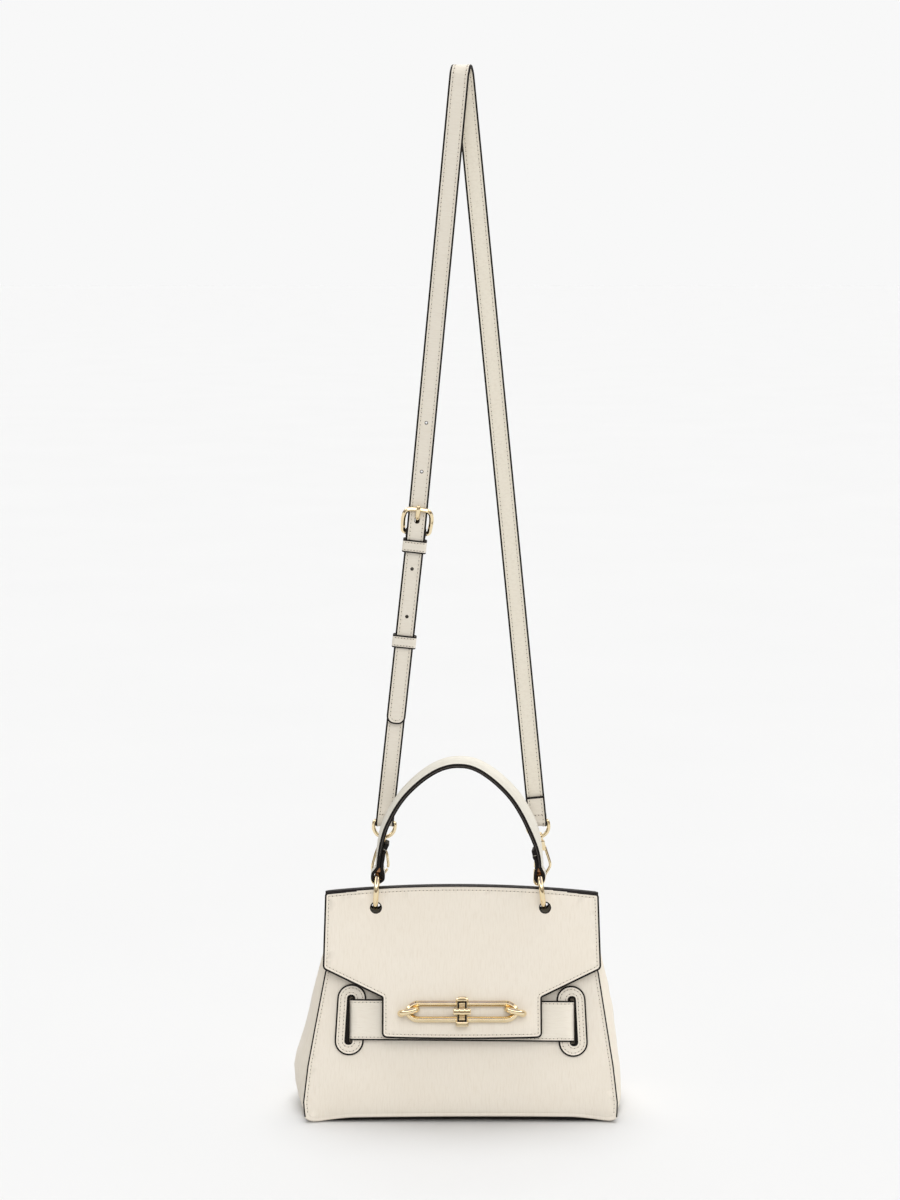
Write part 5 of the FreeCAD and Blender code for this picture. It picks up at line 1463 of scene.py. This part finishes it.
# ------------------------------------------------------------------- snap hooks
for side, word in ((-1, "left"), (1, "right")):
    zax = np.array((0.107368, 0.094996, 0.989671)) if side < 0 else np.array((-0.134336, 0.094682, 0.986402))
    bar_at = 43.77 if side < 0 else 43.92
    xax = unit(X - zax * zax[0])
    yax = np.cross(zax, xax)
    org = np.array((side * 66.0, 10.342, 182.678))
    g = -side
    d_low = bar_at - 12.4
    neck_top = d_low - 2.7
    neck_low = neck_top - 8.2
    slant = -1.2 if side < 0 else -4.1

    def widen(x, f):
        return x if x < 3.9 else 3.9 + f * (x - 3.9)

    f_far, f_near = (0.35, 0.85) if side < 0 else (1.12, 0.0)

    def hk(x, y, z, org=org, xax=xax, yax=yax, zax=zax):
        return org + xax * x + yax * y + zax * z

    # D-shaped eye with its barrel
    pts = [hk(8.4 * math.cos(math.radians(180 + 180 * k / 28)), 0, d_low + 8.4 + 8.4 * math.sin(math.radians(180 + 180 * k / 28))) for k in range(29)]
    ring = pts + [hk(8.4, 0, bar_at - 2.0), hk(8.1, 0, bar_at - 0.6), hk(7.2, 0, bar_at)] + [hk(x, 0, bar_at) for x in np.linspace(5, -5, 9)] + \
        [hk(-7.2, 0, bar_at), hk(-8.1, 0, bar_at - 0.6), hk(-8.4, 0, bar_at - 2.0)]
    sh = Shape()
    tube(sh, ring, 1.5, closed=True, sides=18)
    lathe(sh, hk(0, 0, d_low - 2.4), zax, [(0.0, 2.2), (0.25, 2.6), (0.6, 2.75), (3.6, 2.75), (4.1, 2.5), (4.4, 1.9)], sides=26)
    make(word + "_d_eye_wire", sh, [GOLD], "strap", [word + "_d_eye"])

    # hook: bow, far side, swivel neck and stem head
    sh = Shape()
    side_line = [(0.0, -6.4), (2.3, -5.8), (3.6, -3.8), (3.9, -1.4), (4.6, 1.4), (6.2, 4.2), (7.4, 6.6), (7.5, 9.2), (6.5, 13.0), (5.0, 17.4), (3.1, neck_low + 2.4)]
    far = [(-g * widen(x, f_far), z) for x, z in reversed(side_line)]
    near = [(g * widen(x, f_near), z) for x, z in side_line[1:6]] + [(g * widen(7.1, f_near), 5.6)]
    line3 = [hk(x + slant * (1 - z / 22.0), 0, z) for x, z in spline(far + near, 4)]
    tube(sh, line3, 1.1, sides=18)
    for (x0, x1, y0, y1) in ((-3.6, 3.6, -2.6, -1.5), (-3.6, 3.6, 1.5, 2.6)):
        plate(sh, [(x0, neck_low, 1.0), (x1, neck_low, 1.0), (x1, neck_top, 1.4), (x0, neck_top, 1.4)],
              lambda u, v, h, y1=y1, y0=y0: hk(u, y1 + h, v), y1 - y0, 0.3, step=1.0)
    plate(sh, [(-3.5, neck_low + 5.2, 0.4), (3.5, neck_low + 5.2, 0.4), (3.5, neck_top - 0.05, 1.3), (-3.5, neck_top - 0.05, 1.3)],
          lambda u, v, h: hk(u, 1.7 + h, v), 3.4, 0.2, step=1.0)
    x0, x1 = sorted((-g * 3.5, -g * 1.4))
    plate(sh, [(x0, neck_low + 0.1, 0.4), (x1, neck_low + 0.1, 0.4), (x1, neck_low + 6.0, 0.4), (x0, neck_low + 6.0, 0.4)],
          lambda u, v, h: hk(u, 1.7 + h, v), 3.4, 0.2, step=1.0)
    lathe(sh, hk(0, 0, neck_top - 0.4), zax, [(0.0, 1.5), (d_low + 2.9 - neck_top, 1.5)], sides=18)
    lathe(sh, hk(0, 0, d_low + 2.2), zax, [(0.0, 2.1), (0.2, 2.35), (0.9, 2.4), (1.4, 1.8), (1.65, 0.8)], sides=24)
    make(word + "_hook_wire", sh, [GOLD], word + "_hook", [word + "_hook"])

    # gate with its thumb tab
    sh = Shape()
    pz = neck_low + 2.2
    lathe(sh, hk(g * 2.0, -1.3, pz), yax, [(0.0, 1.7), (0.2, 1.9), (2.4, 1.9), (2.6, 1.7)], sides=20)
    pts = [hk(g * x + slant * (1 - z / 22.0), 0, z) for x, z in spline([(2.6, pz - 1.0)] + [(widen(x, f_near), z) for x, z in ((4.7, 18.2), (6.4, 13.6), (7.6, 10.2), (7.7, 8.4))], 5)]
    tube(sh, pts, 1.1, sides=16)
    make(word + "_gate_bar", sh, [GOLD], word + "_gate", [word + "_gate"])

# -------------------------------------------------- CAD parts that stay as they are
for name, mat in (("base_board", BOARD), ("lock_base", GOLD), ("lock_washer", GOLD_DARK), ("left_gate_pin", GOLD), ("right_gate_pin", GOLD)):
    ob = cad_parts[name]
    ob.data.materials.clear()
    ob.data.materials.append(mat)

# --------------------------------------------------------- stage, light and camera
mat, nt, p = tree("studio_floor_paper")
tc = nt.nodes.new("ShaderNodeTexCoord")
n = noise_node(nt, tc.outputs["Object"], 3.0, 3.0)
nt.links.new(ramp(nt, n.outputs["Fac"], [(0.3, (0.885, 0.885, 0.885, 1)), (0.7, (0.895, 0.895, 0.895, 1))]), p.inputs["Base Color"])
p.inputs["Roughness"].default_value = 0.9
p.inputs["Specular IOR Level"].default_value = 0.05
me = bpy.data.meshes.new("studio_floor")
me.from_pydata([(-40, -40, 0), (40, -40, 0), (40, 40, 0), (-40, 40, 0)], [], [(0, 1, 2, 3)])
me.materials.append(mat)
floor = bpy.data.objects.new("studio_floor", me)
floor.location.z = -0.0002
scene.collection.objects.link(floor)

world = bpy.data.worlds.new("studio")
scene.world = world
world.use_nodes = True
wt = world.node_tree
wt.nodes.clear()
out = wt.nodes.new("ShaderNodeOutputWorld")
mixs = wt.nodes.new("ShaderNodeMixShader")
lp = wt.nodes.new("ShaderNodeLightPath")
seen = wt.nodes.new("ShaderNodeBackground")
seen.inputs["Color"].default_value = lin(248, 248, 248)
seen.inputs["Strength"].default_value = 1.0
sky = wt.nodes.new("ShaderNodeBackground")
wtc = wt.nodes.new("ShaderNodeTexCoord")
sep = wt.nodes.new("ShaderNodeSeparateXYZ")
wt.links.new(wtc.outputs["Generated"], sep.inputs[0])
up = spread(wt, sep.outputs["Z"], 0.0, 1.0, 0.0, 1.0)
shade = ramp(wt, up, [(0.0, (0.55, 0.542, 0.52)), (0.2, (0.66, 0.65, 0.63)), (0.5, (0.97, 0.96, 0.935)), (1.0, (1.0, 0.99, 0.965))])
wt.links.new(shade, sky.inputs["Color"])
sky.inputs["Strength"].default_value = 0.52
# what the metal mirrors: a dim room with a band of soft boxes round it
room = wt.nodes.new("ShaderNodeBackground")
band = ramp(wt, up, [(0.0, (0.4, 0.37, 0.34)), (0.14, (0.16, 0.13, 0.12)), (0.28, (0.5, 0.47, 0.43)), (0.48, (0.85, 0.82, 0.77)), (0.54, (3.0, 2.95, 2.9)),
                     (0.66, (3.0, 2.95, 2.9)), (0.74, (0.36, 0.34, 0.4)), (1.0, (0.5, 0.48, 0.66))])
wt.links.new(band, room.inputs["Color"])
room.inputs["Strength"].default_value = 1.0
mixg = wt.nodes.new("ShaderNodeMixShader")
wt.links.new(lp.outputs["Is Glossy Ray"], mixg.inputs["Fac"])
wt.links.new(sky.outputs[0], mixg.inputs[1])
wt.links.new(room.outputs[0], mixg.inputs[2])
wt.links.new(lp.outputs["Is Camera Ray"], mixs.inputs["Fac"])
wt.links.new(mixg.outputs[0], mixs.inputs[1])
wt.links.new(seen.outputs[0], mixs.inputs[2])
wt.links.new(mixs.outputs[0], out.inputs["Surface"])


def sun(name, direction, strength, angle, colour=(1, 1, 1)):
    ld = bpy.data.lights.new(name, "SUN")
    ld.energy, ld.angle, ld.color = strength, math.radians(angle), colour
    ob = bpy.data.objects.new(name, ld)
    ob.rotation_euler = Vector(direction).to_track_quat("-Z", "Y").to_euler()
    ob.visible_glossy = False
    scene.collection.objects.link(ob)
    return ob


sun("key", (0.0, -0.27, -0.963), 1.88, 38, (0.988, 0.998, 1.016))
front_light = sun("front", (-0.1, 0.72, -0.68), 1.3, 50)
right_light = sun("right", (-0.94, 0.1, -0.24), 0.98, 50)
# the two lower lights are kept off the floor, as with a flag on the stand
flagged = bpy.data.collections.new("flagged_from_low_lights")
flagged.objects.link(floor)
front_light.light_linking.receiver_collection = flagged
right_light.light_linking.receiver_collection = flagged
flagged.collection_objects[0].light_linking.link_state = "EXCLUDE"

cam_data = bpy.data.cameras.new("camera")
cam = bpy.data.objects.new("camera", cam_data)
cam.location = (-0.0094, -1.700, 0.676)
cam.rotation_euler = (math.radians(81.0), 0.0, 0.0)
cam_data.lens = 66.5
cam_data.sensor_width = 36.0
cam_data.clip_start, cam_data.clip_end = 0.05, 200.0
scene.collection.objects.link(cam)
scene.camera = cam
scene.view_settings.view_transform = "Standard"
scene.view_settings.look = "None"
